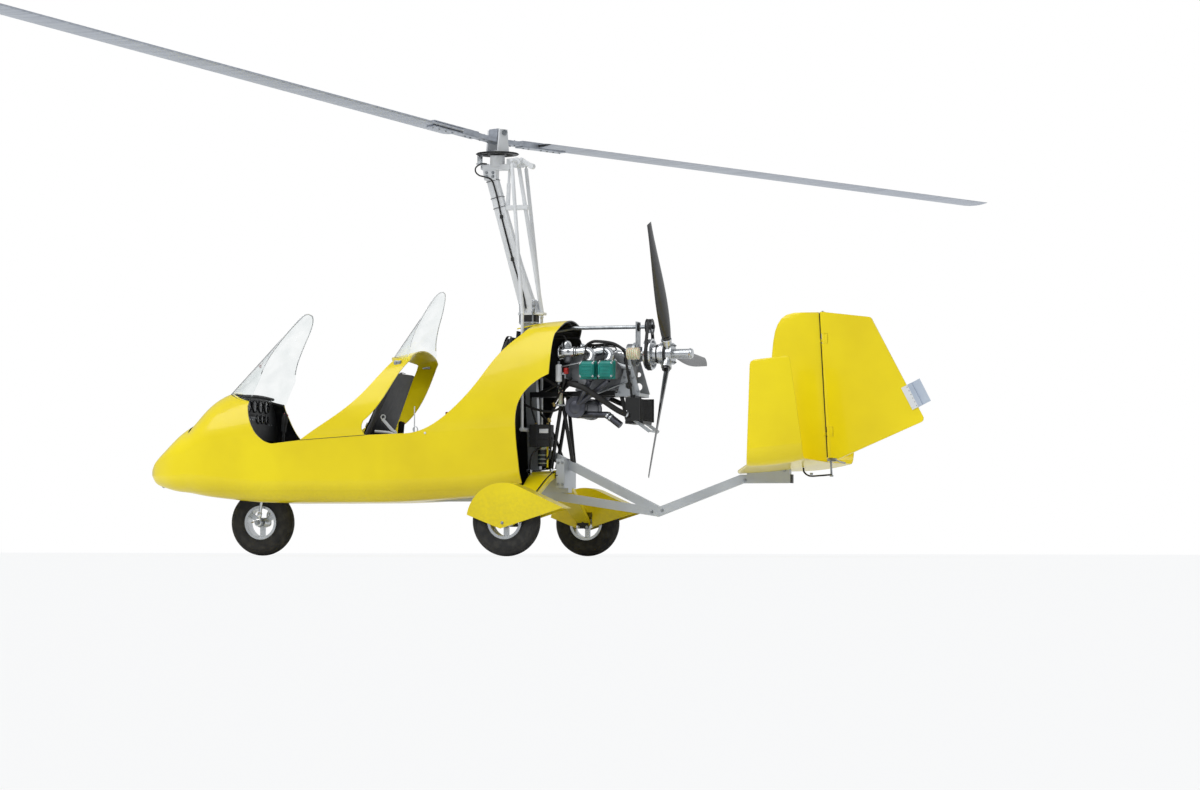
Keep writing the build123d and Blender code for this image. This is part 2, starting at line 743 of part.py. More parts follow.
def seats():
    """Front and rear seats: pan first, then seat cushion and back cushion."""
    front_pan, front_pads = seat(
        ((1490, 462), (1180, 424), (905, 1085), (919, 1091), (1190, 440), (1490, 478)),
        (
            ((1490, 478.4), (1215, 444.6), (1203, 490), (1478, 536)),
            ((1165.5, 500), (921.5, 1086), (958, 1101), (1202, 515)),
        ),
        ((1480, 468), (1480, 300), (1200, 300), (1188, 432)),
    )
    rear_pan, rear_pads = seat(
        ((900, 450), (440, 430), (178, 1288), (192, 1293), (450, 446), (900, 466)),
        (
            ((900, 466.4), (470, 448.4), (456, 495), (888, 526)),
            ((434, 500), (194.6, 1286), (234, 1298), (473, 512)),
        ),
        ((890, 458), (890, 300), (470, 300), (448, 438)),
    )
    write("seat_pans", front_pan, rear_pan)
    write("seat_cushions", *front_pads, *rear_pads)


# Frame
def frame():
    """Keel with its rise to the nose gear, slope, boom, lower mast and diagonal, all square tube."""
    keel = square_tube((KEEL_REAR_X, 0, KEEL_Z), (KEEL_FRONT_X, 0, KEEL_Z))
    slope = square_tube((KINK_X - 30, 0, KINK_Z - 4.6), (KEEL_REAR_X + 30, 0, KEEL_Z + 4))
    write("keel_tube", keel + (slope & block(KINK_X, KEEL_REAR_X, -60, 60, 100, 600)))
    rise_end = (HEAD_TUBE_REAR_X - 150, 0, NOSE_BEAM_Z)
    riser = square_tube((KEEL_FRONT_X + 1, 0, KEEL_Z + 1), rise_end)
    beam = square_tube((rise_end[0], 0, NOSE_BEAM_Z), (HEAD_TUBE_REAR_X, 0, NOSE_BEAM_Z))
    front_of_keel = block(KEEL_FRONT_X, HEAD_TUBE_REAR_X, -60, 60, KEEL_Z - 25, 700)
    write("nose_beam", (riser + beam) & front_of_keel)
    rise = square_tube((KINK_X + 30, 0, boom_line(KINK_X + 30)), (BOOM_BEND_X, 0, BOOM_Z))
    level = square_tube((BOOM_BEND_X + 8, 0, BOOM_Z), (BOOM_END_X, 0, BOOM_Z))
    boom = (rise + level) & block(BOOM_END_X, KINK_X, -60, 60, 100, 700)
    write("tail_boom", boom + tail_mount())
    write("diagonal_tube", diagonal_tube())
    write("lower_mast", lower_mast())
    rubber = block(MAST_FOOT_X - 52, MAST_FOOT_X + 52, -32, 32, LOWER_MAST_TOP_Z, MAST_FOOT_Z)
    write("mast_rubber_block", rubber)


def lower_mast_bar(extra):
    """Box envelope of the lower mast, larger all round by half of extra."""
    foot = (80, 0, KEEL_Z + 25)
    top = (MAST_FOOT_X, 0, LOWER_MAST_TOP_Z + 20)
    return bar(foot, top, LOWER_MAST_WIDTH + extra, LOWER_MAST_DEPTH + extra)


def lower_mast():
    """Upright box post from the saddle to the rubber block under the mast."""
    post = lower_mast_bar(0) - lower_mast_bar(-6)
    head_plate = block(MAST_FOOT_X - 52, MAST_FOOT_X + 52, -32, 32, LOWER_MAST_TOP_Z - 8, LOWER_MAST_TOP_Z)
    zone = block(-100, 300, -60, 60, SADDLE_TOP_Z, LOWER_MAST_TOP_Z)
    hole_from = (PUSH_ROD_FOOT_X, -60, CROSS_SHAFT_Z)
    hole_to = (PUSH_ROD_FOOT_X, 60, CROSS_SHAFT_Z)
    shaft_hole = rod(hole_from, hole_to, CROSS_SHAFT_RADIUS + SEAT_GAP)
    return ((post + head_plate) & zone) - shaft_hole


def diagonal_line(x):
    """Height of the diagonal's centre line at a station."""
    (x_top, z_top), (x_low, z_low) = DIAGONAL
    return z_low + (x - x_low) * (z_top - z_low) / (x_top - x_low)


def boom_line(x):
    """Height of the rising boom's centre line at a station."""
    return KINK_Z + (x - KINK_X) * (BOOM_Z - KINK_Z) / (BOOM_BEND_X - KINK_X)


def diagonal_tube():
    """Tube from the lower mast back and down to the kink of the boom."""
    start = (KINK_X - 60, 0, diagonal_line(KINK_X - 60))
    end = (120, 0, diagonal_line(120))
    tube = square_tube(start, end)
    slope_top = bar((KINK_X - 200, 0, KINK_Z - 30.7), (KEEL_REAR_X + 30, 0, KEEL_Z + 4), 60, 50)
    tube -= slope_top
    tube -= bar((KINK_X + 30, 0, boom_line(KINK_X + 30)), (BOOM_BEND_X, 0, BOOM_Z), 60, 50)
    foot, top = (80, 0, KEEL_Z + 25), (MAST_FOOT_X, 0, LOWER_MAST_TOP_Z + 20)
    tube -= bar(foot, top, 60, LOWER_MAST_DEPTH)
    tube -= block(60, 200, -60, 60, 300, 900)
    return max(tube.solids(), key=lambda s: s.volume)


# Nose gear
def nose_gear():
    """Head tube on the nose beam; fork with stem, crown and two leaning legs; axle through the legs."""
    stem_top = NOSE_BEAM_Z + 60
    crown_low = WHEEL_RADIUS * 2 + 28
    crown_high = crown_low + 26
    head_low = crown_high + 1
    stem_radius = 14
    x = NOSE_AXLE_X
    tube = ring_at((x, 0, head_low), (0, 0, 1), 24, stem_radius + RUNNING_FIT, stem_top - 12 - head_low)
    saddle = block(HEAD_TUBE_REAR_X, x, -25, 25, NOSE_BEAM_Z - 25, NOSE_BEAM_Z + 25)
    bore = rod((x, 0, head_low - 1), (x, 0, stem_top), stem_radius + RUNNING_FIT)
    write("nose_head_tube", tube + saddle - bore)
    stem = rod((x, 0, crown_low), (x, 0, stem_top), stem_radius)
    cap = rod((x, 0, stem_top - 11.5), (x, 0, stem_top), 22)
    crown_rear = x - FORK_LEAN - CROWN_HALF_LENGTH / 2
    crown_end_y = FORK_LEG_Y + 14
    crown = block(crown_rear, x + CROWN_HALF_LENGTH, -crown_end_y, crown_end_y, crown_low, crown_high)
    fork = stem + cap + crown
    for side in (1, -1):
        y = side * FORK_LEG_Y
        leg = rod((x, y, WHEEL_RADIUS), (x - FORK_LEAN, y, crown_low + 4), FORK_LEG_RADIUS)
        eye = rod((x, y - 9, WHEEL_RADIUS), (x, y + 9, WHEEL_RADIUS), 22)
        fork += leg + eye
    bore_y = FORK_LEG_Y + 20
    fork -= rod((x, -bore_y, WHEEL_RADIUS), (x, bore_y, WHEEL_RADIUS), AXLE_RADIUS + RUNNING_FIT)
    write("nose_fork", fork)
    pin = rod((x, -FORK_LEG_Y - 14, WHEEL_RADIUS), (x, FORK_LEG_Y + 14, WHEEL_RADIUS), AXLE_RADIUS)
    for side in (1, -1):
        face = side * (FORK_LEG_Y + 13)
        pin += rod((x, face, WHEEL_RADIUS), (x, face + side * 8, WHEEL_RADIUS), 16)
        spacer_from = side * (HUB_HALF_WIDTH + 0.5)
        spacer_to = side * (FORK_LEG_Y - 13)
        pin += rod((x, spacer_from, WHEEL_RADIUS), (x, spacer_to, WHEEL_RADIUS), 15)
    write("nose_axle", pin)


# Mast
def mast():
    """Two flat tubes side by side in one node, head block on top, wedge gussets at the foot."""
    front = side_prism(MAST_FRONT_TUBE, -MAST_HALF_DEPTH, MAST_HALF_DEPTH)
    rear = side_prism(MAST_REAR_TUBE, -MAST_HALF_DEPTH, MAST_HALF_DEPTH)
    gusset = side_prism(MAST_GUSSET, -MAST_HALF_DEPTH - 4, MAST_HALF_DEPTH + 4)
    head = side_prism(MAST_HEAD, -MAST_HALF_DEPTH - 6, MAST_HALF_DEPTH + 6)
    foot = block(28, MAST_FOOT_X + 57, -36, 36, MAST_FOOT_Z, MAST_FOOT_Z + 14)
    bracket = block(MAST_BRACKET_REAR_X, 290, -20, 20, MAST_BRACKET_Z, MAST_BRACKET_Z + 27)
    start, end = middle_rod_ends()
    bracket -= rod(start, end, MIDDLE_ROD_RADIUS + SEAT_GAP)
    return front + rear + gusset + head + foot + bracket


def middle_rod_ends():
    """Top and foot of the rod behind the mast."""
    top = (HEAD_PIVOT_X, 0, HEAD_BASE_Z + 14 - SEAT_GAP - 2)
    foot = (MIDDLE_ROD_FOOT_X, 0, MAST_FOOT_Z + 14 + SEAT_GAP + 2)
    return top, foot


def trim_cylinder():
    """Small cylinder between the head's yoke and the mast bracket."""
    top = (251, 0, HEAD_BASE_Z - SEAT_GAP - 0.4)
    foot = (260, 0, MAST_BRACKET_Z + 27 + SEAT_GAP + 0.5)
    return rod(foot, top, 8) + rod(foot, (254.5, 0, 2220), 12)


def push_rods():
    """Two side rods and one middle rod from the rotor head down past the mast foot."""
    shaft_end = PUSH_ROD_FOOT_Y + 14
    shaft_from = (PUSH_ROD_FOOT_X, -shaft_end, CROSS_SHAFT_Z)
    shaft_to = (PUSH_ROD_FOOT_X, shaft_end, CROSS_SHAFT_Z)
    linkage = rod(shaft_from, shaft_to, CROSS_SHAFT_RADIUS)
    for side in (1, -1):
        top = (HEAD_PIVOT_X, side * HEAD_ARM_Y, HEAD_PIVOT_Z - 22)
        eye = (HEAD_PIVOT_X, side * HEAD_ARM_Y, HEAD_PIVOT_Z - 10 - SEAT_GAP)
        knee = (PUSH_ROD_FOOT_X, side * PUSH_ROD_FOOT_Y, MAST_FOOT_Z)
        foot = (PUSH_ROD_FOOT_X, side * PUSH_ROD_FOOT_Y, CROSS_SHAFT_Z)
        linkage += rod(top, eye, 6) + rod(top, knee, 11) + rod(knee, foot, 9)
        linkage += Solid.make_sphere(12, Plane(origin=knee))
    start, end = middle_rod_ends()
    return linkage, rod(start, end, MIDDLE_ROD_RADIUS)


def rotor_head():
    """Yoke on the mast head, gimbal block with its cross tube, bearing housing and control arms."""
    yoke = block(240, 412, -30, 30, HEAD_BASE_Z, HEAD_BASE_Z + 34)
    neck = block(HEAD_PIVOT_X - 24, 262, -24, 24, HEAD_BASE_Z + 14, HEAD_BASE_Z + 66)
    housing = rod((ROTOR_X, 0, HEAD_BASE_Z + 20), (ROTOR_X, 0, RING_Z - 6), 44)
    cross = rod((HEAD_PIVOT_X, -62, HEAD_PIVOT_Z), (HEAD_PIVOT_X, 62, HEAD_PIVOT_Z), 25)
    arm_end = HEAD_ARM_Y + 14
    arm_bar = rod((HEAD_PIVOT_X, -arm_end, HEAD_PIVOT_Z), (HEAD_PIVOT_X, arm_end, HEAD_PIVOT_Z), 10)
    tail_arm = bar((HEAD_PIVOT_X - 10, 0, HEAD_PIVOT_Z + 20), (112, 0, HEAD_PIVOT_Z - 24), 30, 24)
    tail_eye = rod((112, -22, HEAD_PIVOT_Z - 24), (112, 22, HEAD_PIVOT_Z - 24), 17)
    bore = rod((ROTOR_X, 0, HEAD_BASE_Z + 30), (ROTOR_X, 0, RING_Z), SPINDLE_RADIUS + RUNNING_FIT)
    return yoke + neck + housing + cross + arm_bar + tail_arm + tail_eye - bore


def rotor_place(solid):
    """From a frame at the rotor axis, with local X along the left blade, to its place."""
    return Pos(ROTOR_X, 0, 0) * Rot(0, 0, BLADE_HEADING) * solid


def rotor_spinner():
    """Ring gear with its spindle, and the tower whose cheeks carry the teeter bolt."""
    ring = ring_at((0, 0, RING_Z), (0, 0, 1), RING_RADIUS, 96, RING_THICKNESS)
    for index in range(4):
        ring += Rot(0, 0, 45 + 90 * index) * block(40, 100, -9, 9, RING_Z, RING_Z + RING_THICKNESS)
    ring += rod((0, 0, RING_Z), (0, 0, RING_Z + RING_THICKNESS), 58)
    ring += rod((0, 0, HEAD_BASE_Z + 31), (0, 0, RING_Z), SPINDLE_RADIUS)
    write("rotor_ring_gear", rotor_place(ring))
    base_low = RING_Z + RING_THICKNESS
    tower = block(-44, 44, -TOWER_INNER - TOWER_CHEEK, TOWER_INNER + TOWER_CHEEK, base_low, base_low + 12)
    cheek = ((-43, base_low), (43, base_low), (30, TEETER_Z + 20), (-30, TEETER_Z + 20))
    for y_from in (TOWER_INNER, -TOWER_INNER - TOWER_CHEEK):
        tower += side_prism(cheek, y_from, y_from + TOWER_CHEEK)
    reach = TOWER_INNER + TOWER_CHEEK + 8
    tower -= rod((0, -reach, TEETER_Z), (0, reach, TEETER_Z), TEETER_BOLT_RADIUS + RUNNING_FIT)
    write("rotor_tower", rotor_place(tower))
    bolt = rod((0, -reach - 6, TEETER_Z), (0, reach + 6, TEETER_Z), TEETER_BOLT_RADIUS)
    for side in (1, -1):
        face = side * (TOWER_INNER + TOWER_CHEEK)
        bolt += rod((0, face, TEETER_Z), (0, face + side * 9, TEETER_Z), 14)
    write("teeter_bolt", rotor_place(bolt))


def coned(solid, side):
    """Tilts a piece drawn along local +X up to the coning angle, on either side."""
    lifted = Pos(0, 0, HUB_BAR_Z) * Rot(0, -CONING, 0) * solid
    return lifted if side > 0 else Rot(0, 0, 180) * lifted


def teetered(solid):
    """Tilts the blades and their bar about the teeter bolt, left blade up."""
    return Pos(0, 0, TEETER_Z) * Rot(0, -TEETER_REST, 0) * Pos(0, 0, -TEETER_Z) * solid


def rotor_blade(side):
    """Constant-chord blade: round nose, two arcs, thin trailing edge."""
    x = BLADE_ROOT_R + 0.5
    nose = BLADE_CHORD / 4
    rear = nose - BLADE_CHORD
    half = BLADE_THICKNESS / 2
    upper_front = Vector(x, nose - 8, half * 0.55)
    lower_front = Vector(x, nose - 8, -half * 0.55)
    crest_y = nose - 0.34 * BLADE_CHORD
    edges = [
        Edge.make_three_point_arc(lower_front, Vector(x, nose, 0), upper_front),
        Edge.make_three_point_arc(upper_front, Vector(x, crest_y, half), Vector(x, rear, 1)),
        Edge.make_line(Vector(x, rear, 1), Vector(x, rear, -1)),
        Edge.make_three_point_arc(Vector(x, rear, -1), Vector(x, crest_y, -half), lower_front),
    ]
    blade = Solid.extrude(Face(Wire(edges)), Vector(ROTOR_RADIUS - x, 0, 0))
    return rotor_place(teetered(coned(blade, side)))


def hub_bar():
    """Coned bar, blade straps above and below each root, teeter block reaching up to the bolt."""
    half = HUB_BAR_THICKNESS / 2
    width = HUB_BAR_WIDTH / 2
    bar_solid = None
    for side in (1, -1):
        arm = block(-2, BLADE_ROOT_R, -width, width, -half, half)
        for z_from in (half, -half - STRAP_THICKNESS):
            arm += block(175, 520, -width + 3, width - 3, z_from, z_from + STRAP_THICKNESS)
        arm = coned(arm, side)
        bar_solid = arm if bar_solid is None else bar_solid + arm
    bar_solid += block(-34, 34, -width, width, HUB_BAR_Z, TEETER_Z + 22)
    bar_solid -= rod((0, -60, TEETER_Z), (0, 60, TEETER_Z), TEETER_BOLT_RADIUS + RUNNING_FIT)
    return rotor_place(teetered(bar_solid))


# Engine
def engine_block():
    """Flat-four crankcase with its gearbox, one piece at its real place and size."""
    case = side_prism(CRANKCASE, -95, 95)
    case += block(-440, -200, -116, 116, RAIL_Z + RAIL_HEIGHT / 2 + SEAT_GAP, 984)
    gearbox = rod((-490, 0, PROP_Z), (-545, 0, PROP_Z), 62)
    gearbox += rod((-490, 0, CRANK_Z), (-526, 0, CRANK_Z), 78)
    gearbox += rod((-545, 0, PROP_Z), (-572, 0, PROP_Z), 44)
    return case + gearbox


def cylinder_places():
    """Station and side of each cylinder; the right-hand bank sits further forward."""
    return [(x + (STAGGER if side < 0 else 0), side) for x in CYLINDER_X for side in (1, -1)]


def cylinders():
    """Four finned barrels with heads, two on each side."""
    pieces = []
    for x, side in cylinder_places():
        barrel = rod((x, side * 95, CRANK_Z), (x, side * 200, CRANK_Z), 48)
        for index in range(5):
            y = side * (118 + 15 * index)
            barrel += rod((x, y, CRANK_Z), (x, y + side * 5, CRANK_Z), FIN_RADIUS)
        y_low, y_high = sorted((side * 196, side * HEAD_FACE_Y))
        barrel += block(x - 50, x + 50, y_low, y_high, CRANK_Z - 52, CRANK_Z + 52)
        pieces.append(barrel)
    return pieces


def rocker_covers():
    """Four rounded caps over the valve gear."""
    covers = []
    for x, side in cylinder_places():
        y_low, y_high = sorted((side * HEAD_FACE_Y, side * COVER_FACE_Y))
        cover = block(x - 47, x + 47, y_low, y_high, CRANK_Z - 46, CRANK_Z + 46)
        outer_edges = [edge for edge in cover.edges() if abs(edge.center().Y) > HEAD_FACE_Y + 1]
        covers.append(cover.fillet(12, outer_edges))
    return covers


def intake():
    """Two carburettors at the front of the engine and the pipes that run back to the heads."""
    pieces = []
    for side in (1, -1):
        y = side * CARB_Y
        carb = rod((-135, y, CARB_Z), (-205, y, CARB_Z), 34) + rod((-118, y, CARB_Z), (-140, y, CARB_Z), 38)
        pipe = rod((-200, y, CARB_Z), (-430, y, CARB_Z), 20)
        for x, bank in cylinder_places():
            if bank == side:
                pipe += rod((x, y, CARB_Z), (x, side * 222, CRANK_Z + 40), 18)
        pipe -= block(-500, -200, -300, 300, 1000, CRANK_Z + 52)
        pieces.append(carb + pipe)
    return pieces


def engine_mount():
    """Rear mount: two drilled triangular plates, a cross beam and a collar round the gearbox."""
    pieces = None
    for side in (1, -1):
        y = side * 100
        inner, outer = sorted((y, y + side * 8))
        plate = side_prism(((-522, 1190), (-592, RAIL_Z), (-452, RAIL_Z - 10)), inner, outer)
        for x, z, radius in ((-524, 1000, 22), (-524, 1072, 14)):
            plate -= rod((x, y - 20, z), (x, y + 20, z), radius)
        pieces = plate if pieces is None else pieces + plate
    beam = block(-585, -440, -108, 108, RAIL_Z - 20, RAIL_Z)
    collar = ring_at((-544, 0, PROP_Z), (1, 0, 0), 70, 62 + SEAT_GAP, 16)
    bore = rod((-560, 0, PROP_Z), (-500, 0, PROP_Z), 65)
    strap = block(-544, -528, -108, 108, PROP_Z - 12, PROP_Z + 2) - bore
    return pieces + beam + collar + strap


def engine_rails():
    """Two rails from the rear mount forward to the sides of the lower mast."""
    rails = []
    for side in (1, -1):
        start = (-440 + SEAT_GAP, side * 104, RAIL_Z)
        rail = bar(start, (MAST_FOOT_X - 20, side * 33.5, RAIL_Z), 22, RAIL_HEIGHT)
        rails.append(rail & block(-440 + SEAT_GAP, 300, -200, 200, 900, 1000))
    return rails


def engine_struts():
    """Inverted V of black tube on each side: front leg to the saddle's plate, rear leg to the diagonal."""
    struts = []
    foot_x = -156
    for side in (1, -1):
        top = (-100, side * 60, RAIL_Z - RAIL_HEIGHT / 2 - 12)
        front = rod(top, (-30, side * 52, 500), 11) - block(-300, 100, -100, 100, 400, SADDLE_TOP_Z)
        rear = rod(top, (foot_x, side * 13, diagonal_line(foot_x)), 11)
        rear -= bar((-300, 0, diagonal_line(-300)), (60, 0, diagonal_line(60)), 2 * TUBE, TUBE)
        rear = max(rear.solids(), key=lambda s: s.volume)
        cap = rod(top, (-100, side * 60, RAIL_Z - RAIL_HEIGHT / 2 - SEAT_GAP), 14)
        struts.append(front + rear + cap)
    return struts


def muffler():
    """Transverse canister with a pipe back and a cut tail pipe."""
    can = rod((-215, -170, 872), (-215, 170, 872), 60)
    for x, side in cylinder_places():
        can += rod((x, side * 216, CRANK_Z - 60), (-215, side * 150, 872), 15)
    can -= block(-500, -200, -300, 300, CRANK_Z - 52, CRANK_Z + 52)
    pipe = rod((-215, 120, 832), (-400, 120, 828), 19)
    tail = rod((-395, 120, 829), (-480, 125, 765), 21)
    return can + pipe + tail


def radiator():
    """Finned core between two tanks, carried by two square struts from the engine mount."""
    core = block(-600, -520, -130, 130, 792, 920)
    for side in (1, -1):
        tank = (side * 130, side * 152)
        core += block(-604, -516, min(tank), max(tank), 792, 926)
    return core


def radiator_struts():
    """Two square struts from the mount's beam to a cross bar under the radiator."""
    pieces = None
    for side in (1, -1):
        strut = bar((-468, side * 70, RAIL_Z - 10), (-508, side * 70, 784), 20, 20)
        pieces = strut if pieces is None else pieces + strut
    shelf = block(-606, -498, -95, 95, 776, 791.7)
    return (pieces + shelf) & block(-700, -400, -200, 200, 700, RAIL_Z - 20)


def pre_rotator():
    """Shaft with its upper pulley above the engine, and the belt down to the propeller pulley."""
    shaft = rod((-140, 0, BELT_TOP_Z), (BELT_X - 18, 0, BELT_TOP_Z), 11)
    shaft += rod((-146, 0, BELT_TOP_Z), (86, 0, 1310), 11) - lower_mast_bar(2 * SEAT_GAP)
    shaft += rod((BELT_X + 16, 0, BELT_TOP_Z), (BELT_X - 16, 0, BELT_TOP_Z), PULLEY_SMALL)
    bracket = block(-553, -545, -40, 40, PROP_Z + 20, BELT_TOP_Z + 30)
    bracket -= rod((-600, 0, BELT_TOP_Z), (-500, 0, BELT_TOP_Z), 11 + SEAT_GAP)
    bracket -= rod((-600, 0, PROP_Z), (-500, 0, PROP_Z), 44 + SEAT_GAP)
    return shaft, bracket


def belt_face(margin, x):
    """Closed loop round both pulleys at a margin from their rims."""
    r_top = PULLEY_SMALL + margin
    r_low = PULLEY_LARGE + margin
    span = BELT_TOP_Z - PROP_Z
    lean = math.asin((r_low - r_top) / span)

    def at(centre_z, radius, angle):
        return Vector(x, radius * math.cos(angle), centre_z + radius * math.sin(angle))

    top_right = at(BELT_TOP_Z, r_top, lean)
    top_left = at(BELT_TOP_Z, r_top, math.pi - lean)
    low_right = at(PROP_Z, r_low, lean)
    low_left = at(PROP_Z, r_low, math.pi - lean)
    return Face(Wire([
        Edge.make_three_point_arc(top_right, at(BELT_TOP_Z, r_top, math.pi / 2), top_left),
        Edge.make_line(top_left, low_left),
        Edge.make_three_point_arc(low_left, at(PROP_Z, r_low, -math.pi / 2), low_right),
        Edge.make_line(low_right, top_right),
    ]))


def belt():
    """Flat loop of the pre-rotator's belt, slack round the propeller pulley."""
    half = 9
    outer = Solid.extrude(belt_face(BELT_GAP + 7, BELT_X - half), Vector(2 * half, 0, 0))
    inner = Solid.extrude(belt_face(BELT_GAP, BELT_X - half), Vector(2 * half, 0, 0))
    return outer - inner


def battery_box():
    """Battery on the left side of the lower mast and diagonal."""
    return block(-38, 82, TUBE / 2 + SEAT_GAP, TUBE / 2 + 95, 645, 775)


def filter_bottle():
    """Bottle with a cap hung under the battery."""
    x, y = 15, 74
    return rod((x, y, 530), (x, y, 625), 28) + rod((x, y, 625), (x, y, 645 - SEAT_GAP), 15)


# Propeller
def prop_flange():
    """Big pulley and flange on the gearbox shaft."""
    pulley = rod((-600, 0, PROP_Z), (-640, 0, PROP_Z), PULLEY_LARGE)
    shaft = rod((-572.5, 0, PROP_Z), (-600, 0, PROP_Z), 26)
    spacer = rod((-640, 0, PROP_Z), (-690, 0, PROP_Z), 55)
    flange = rod((-690, 0, PROP_Z), (-705 + SEAT_GAP, 0, PROP_Z), 66)
    return pulley + shaft + spacer + flange


def prop_hub():
    """Hub of two clamp plates with three blade sockets, and the tube behind it."""
    hub = rod((-705, 0, PROP_Z), (PROP_X - 30, 0, PROP_Z), 52)
    for x_from, x_to in ((-705, -713), (PROP_X - 22, PROP_X - 30)):
        hub += rod((x_from, 0, PROP_Z), (x_to, 0, PROP_Z), 64)
    hub += rod((PROP_X - 30, 0, PROP_Z), (-879, 0, PROP_Z), 28)
    for index in range(PROP_BLADES):
        hub += prop_place(rod((0, 0, 30), (0, 0, 96), 29), index)
    for index in range(PROP_BLADES):
        hub -= prop_place(rod((0, 0, 40), (0, 0, 100), 24), index)
    return hub


def prop_place(solid, index):
    """From a blade drawn along local +Z to its place on the hub."""
    return Pos(PROP_X, 0, PROP_Z) * Rot(-(PROP_PHASE + 360 / PROP_BLADES * index), 0, 0) * solid


def prop_blade(index):
    """Twisted blade lofted through four arc sections, on a round root."""
    wires = []
    for radius, chord, thick, pitch in PROP_SECTIONS:
        turn = Rot(0, 0, 90 - pitch)
        front = Vector(chord * 0.45, 0, radius)
        back = Vector(-chord * 0.55, 0, radius)
        edges = [
            Edge.make_three_point_arc(back, Vector(chord * 0.05, thick * 0.75, radius), front),
            Edge.make_three_point_arc(front, Vector(chord * 0.05, -thick * 0.25, radius), back),
        ]
        wires.append(turn * Wire(edges))
    blade = Solid.make_loft(wires)
    root = rod((0, 0, 40.3), (0, 0, 112), 23.7)
    return prop_place(blade + root, index)


# Tail
def wing_section(origin, chord, thick, across, rise=0.0):
    """Closed symmetric section: chord along X from its nose at origin, thickness along across."""
    origin = Vector(*origin)
    up = Vector(*across).normalized() * (thick / 2)
    back = Vector(-1, 0, rise)
    nose_up = origin + back * (chord * 0.035) + up * 0.55
    nose_low = origin + back * (chord * 0.035) - up * 0.55
    crest = back * (chord * 0.36)
    rear = origin + back * chord
    edge = up.normalized() * 1.5
    return Wire([
        Edge.make_three_point_arc(nose_low, origin, nose_up),
        Edge.make_three_point_arc(nose_up, origin + crest + up, rear + edge),
        Edge.make_line(rear + edge, rear - edge),
        Edge.make_three_point_arc(rear - edge, origin + crest - up, nose_low),
    ])


def stabiliser():
    """Swept tailplane that turns up into the end plates through rounded corners."""
    rows = STABILISER_SECTIONS
    sections = [
        wing_section((x, y, z), chord, thick, (0, ay, az), CHORD_RISE)
        for x, y, z, chord, thick, ay, az in rows
    ]
    inner = Solid.make_loft(sections[:2], True)
    corner = Solid.make_loft(sections[1:4])
    plate = Solid.make_loft(sections[3:], True)
    half = inner + corner + plate
    return half + mirrored(half)


def fin():
    """Fixed fin: nose line swept, top front rounded, rear edge on the hinge line."""
    sections = []
    for x, z in FIN_ROWS:
        rear = hinge_x(z) + HINGE_GAP
        sections.append(wing_section((x, 0, z), x - rear, 36, (0, 1, 0)))
    groove = rod(hinge_point(300), hinge_point(1600), RUDDER_NOSE_RADIUS + HINGE_GAP)
    body = Solid.make_loft(sections, True) - stabiliser() - groove
    body = max(body.solids(), key=lambda s: s.volume)
    for z in HINGE_STATIONS:
        body += block(hinge_x(z) - 9, hinge_x(z) + 44, -6, 6, z, z + 18)
        body += rod(hinge_point(z), hinge_point(z + 42), HINGE_PIN_RADIUS)
    return body


def hinge_x(z):
    """Station of the hinge line at a height."""
    (x_top, z_top), (x_low, z_low) = HINGE_TOP, HINGE_LOW
    return x_low + (z - z_low) * (x_top - x_low) / (z_top - z_low)


def hinge_point(z):
    """Point on the rudder's hinge line at a height."""
    return (hinge_x(z), 0, z)


def rudder():
    """Rudder behind the hinge line, thinner towards its rear edge, with two bored knuckles."""
    top_z, low_z = HINGE_TOP[1], HINGE_LOW[1]
    hinge_top, hinge_low = (hinge_x(top_z), top_z), (hinge_x(low_z + 10), low_z + 10)
    outline = (hinge_top, RUDDER_REAR[0], RUDDER_REAR[1], RUDDER_LOW, hinge_low)
    slab = side_prism(outline, -20, 20)
    slab = slab.fillet(RUDDER_CORNER_RADIUS, [
        edge for edge in slab.edges()
        if any(math.hypot(edge.center().X - x, edge.center().Z - z) < 1 for x, z in RUDDER_REAR)
    ])
    wedge = plan_prism(((-1600, 17), (-2320, 2.5), (-2320, -2.5), (-1600, -17)), 400, 1600)
    nose = rod(hinge_point(low_z + 10), hinge_point(top_z), RUDDER_NOSE_RADIUS)
    slab = (slab & wedge) + nose
    for z in HINGE_STATIONS:
        slab -= block(hinge_x(z) - 26, hinge_x(z) + 30, -30, 30, z - 8, z + 50)
        slab += block(hinge_x(z) - 30, hinge_x(z), -5, 5, z + 18.5, z + 38)
        slab += rod(hinge_point(z + 18.5), hinge_point(z + 38), 9)
        slab -= rod(hinge_point(z), hinge_point(z + 60), HINGE_PIN_RADIUS + RUNNING_FIT)
    return slab


def trim_tab():
    """Fixed tab clamped over the rear edge of the rudder."""
    front_top, rear_top, rear_low, front_low = TAB
    strip_top = (front_top[0] - 60, front_top[1] + 30.5)
    strip_low = (front_low[0] - 60, front_low[1] + 30.5)
    clamp = side_prism((front_top, strip_top, strip_low, front_low), -8, 8)
    plate = side_prism(TAB, -1.5, 1.5)
    return (clamp + plate) - rudder()


def tail_mount():
    """Wedge between the level part of the boom and the underside of the stabiliser."""
    wedge = block(BOOM_END_X + 8, -1215, -TUBE / 2, TUBE / 2, BOOM_Z + TUBE / 2 - 1, 516) - stabiliser()
    return max(wedge.solids(), key=lambda s: s.volume)


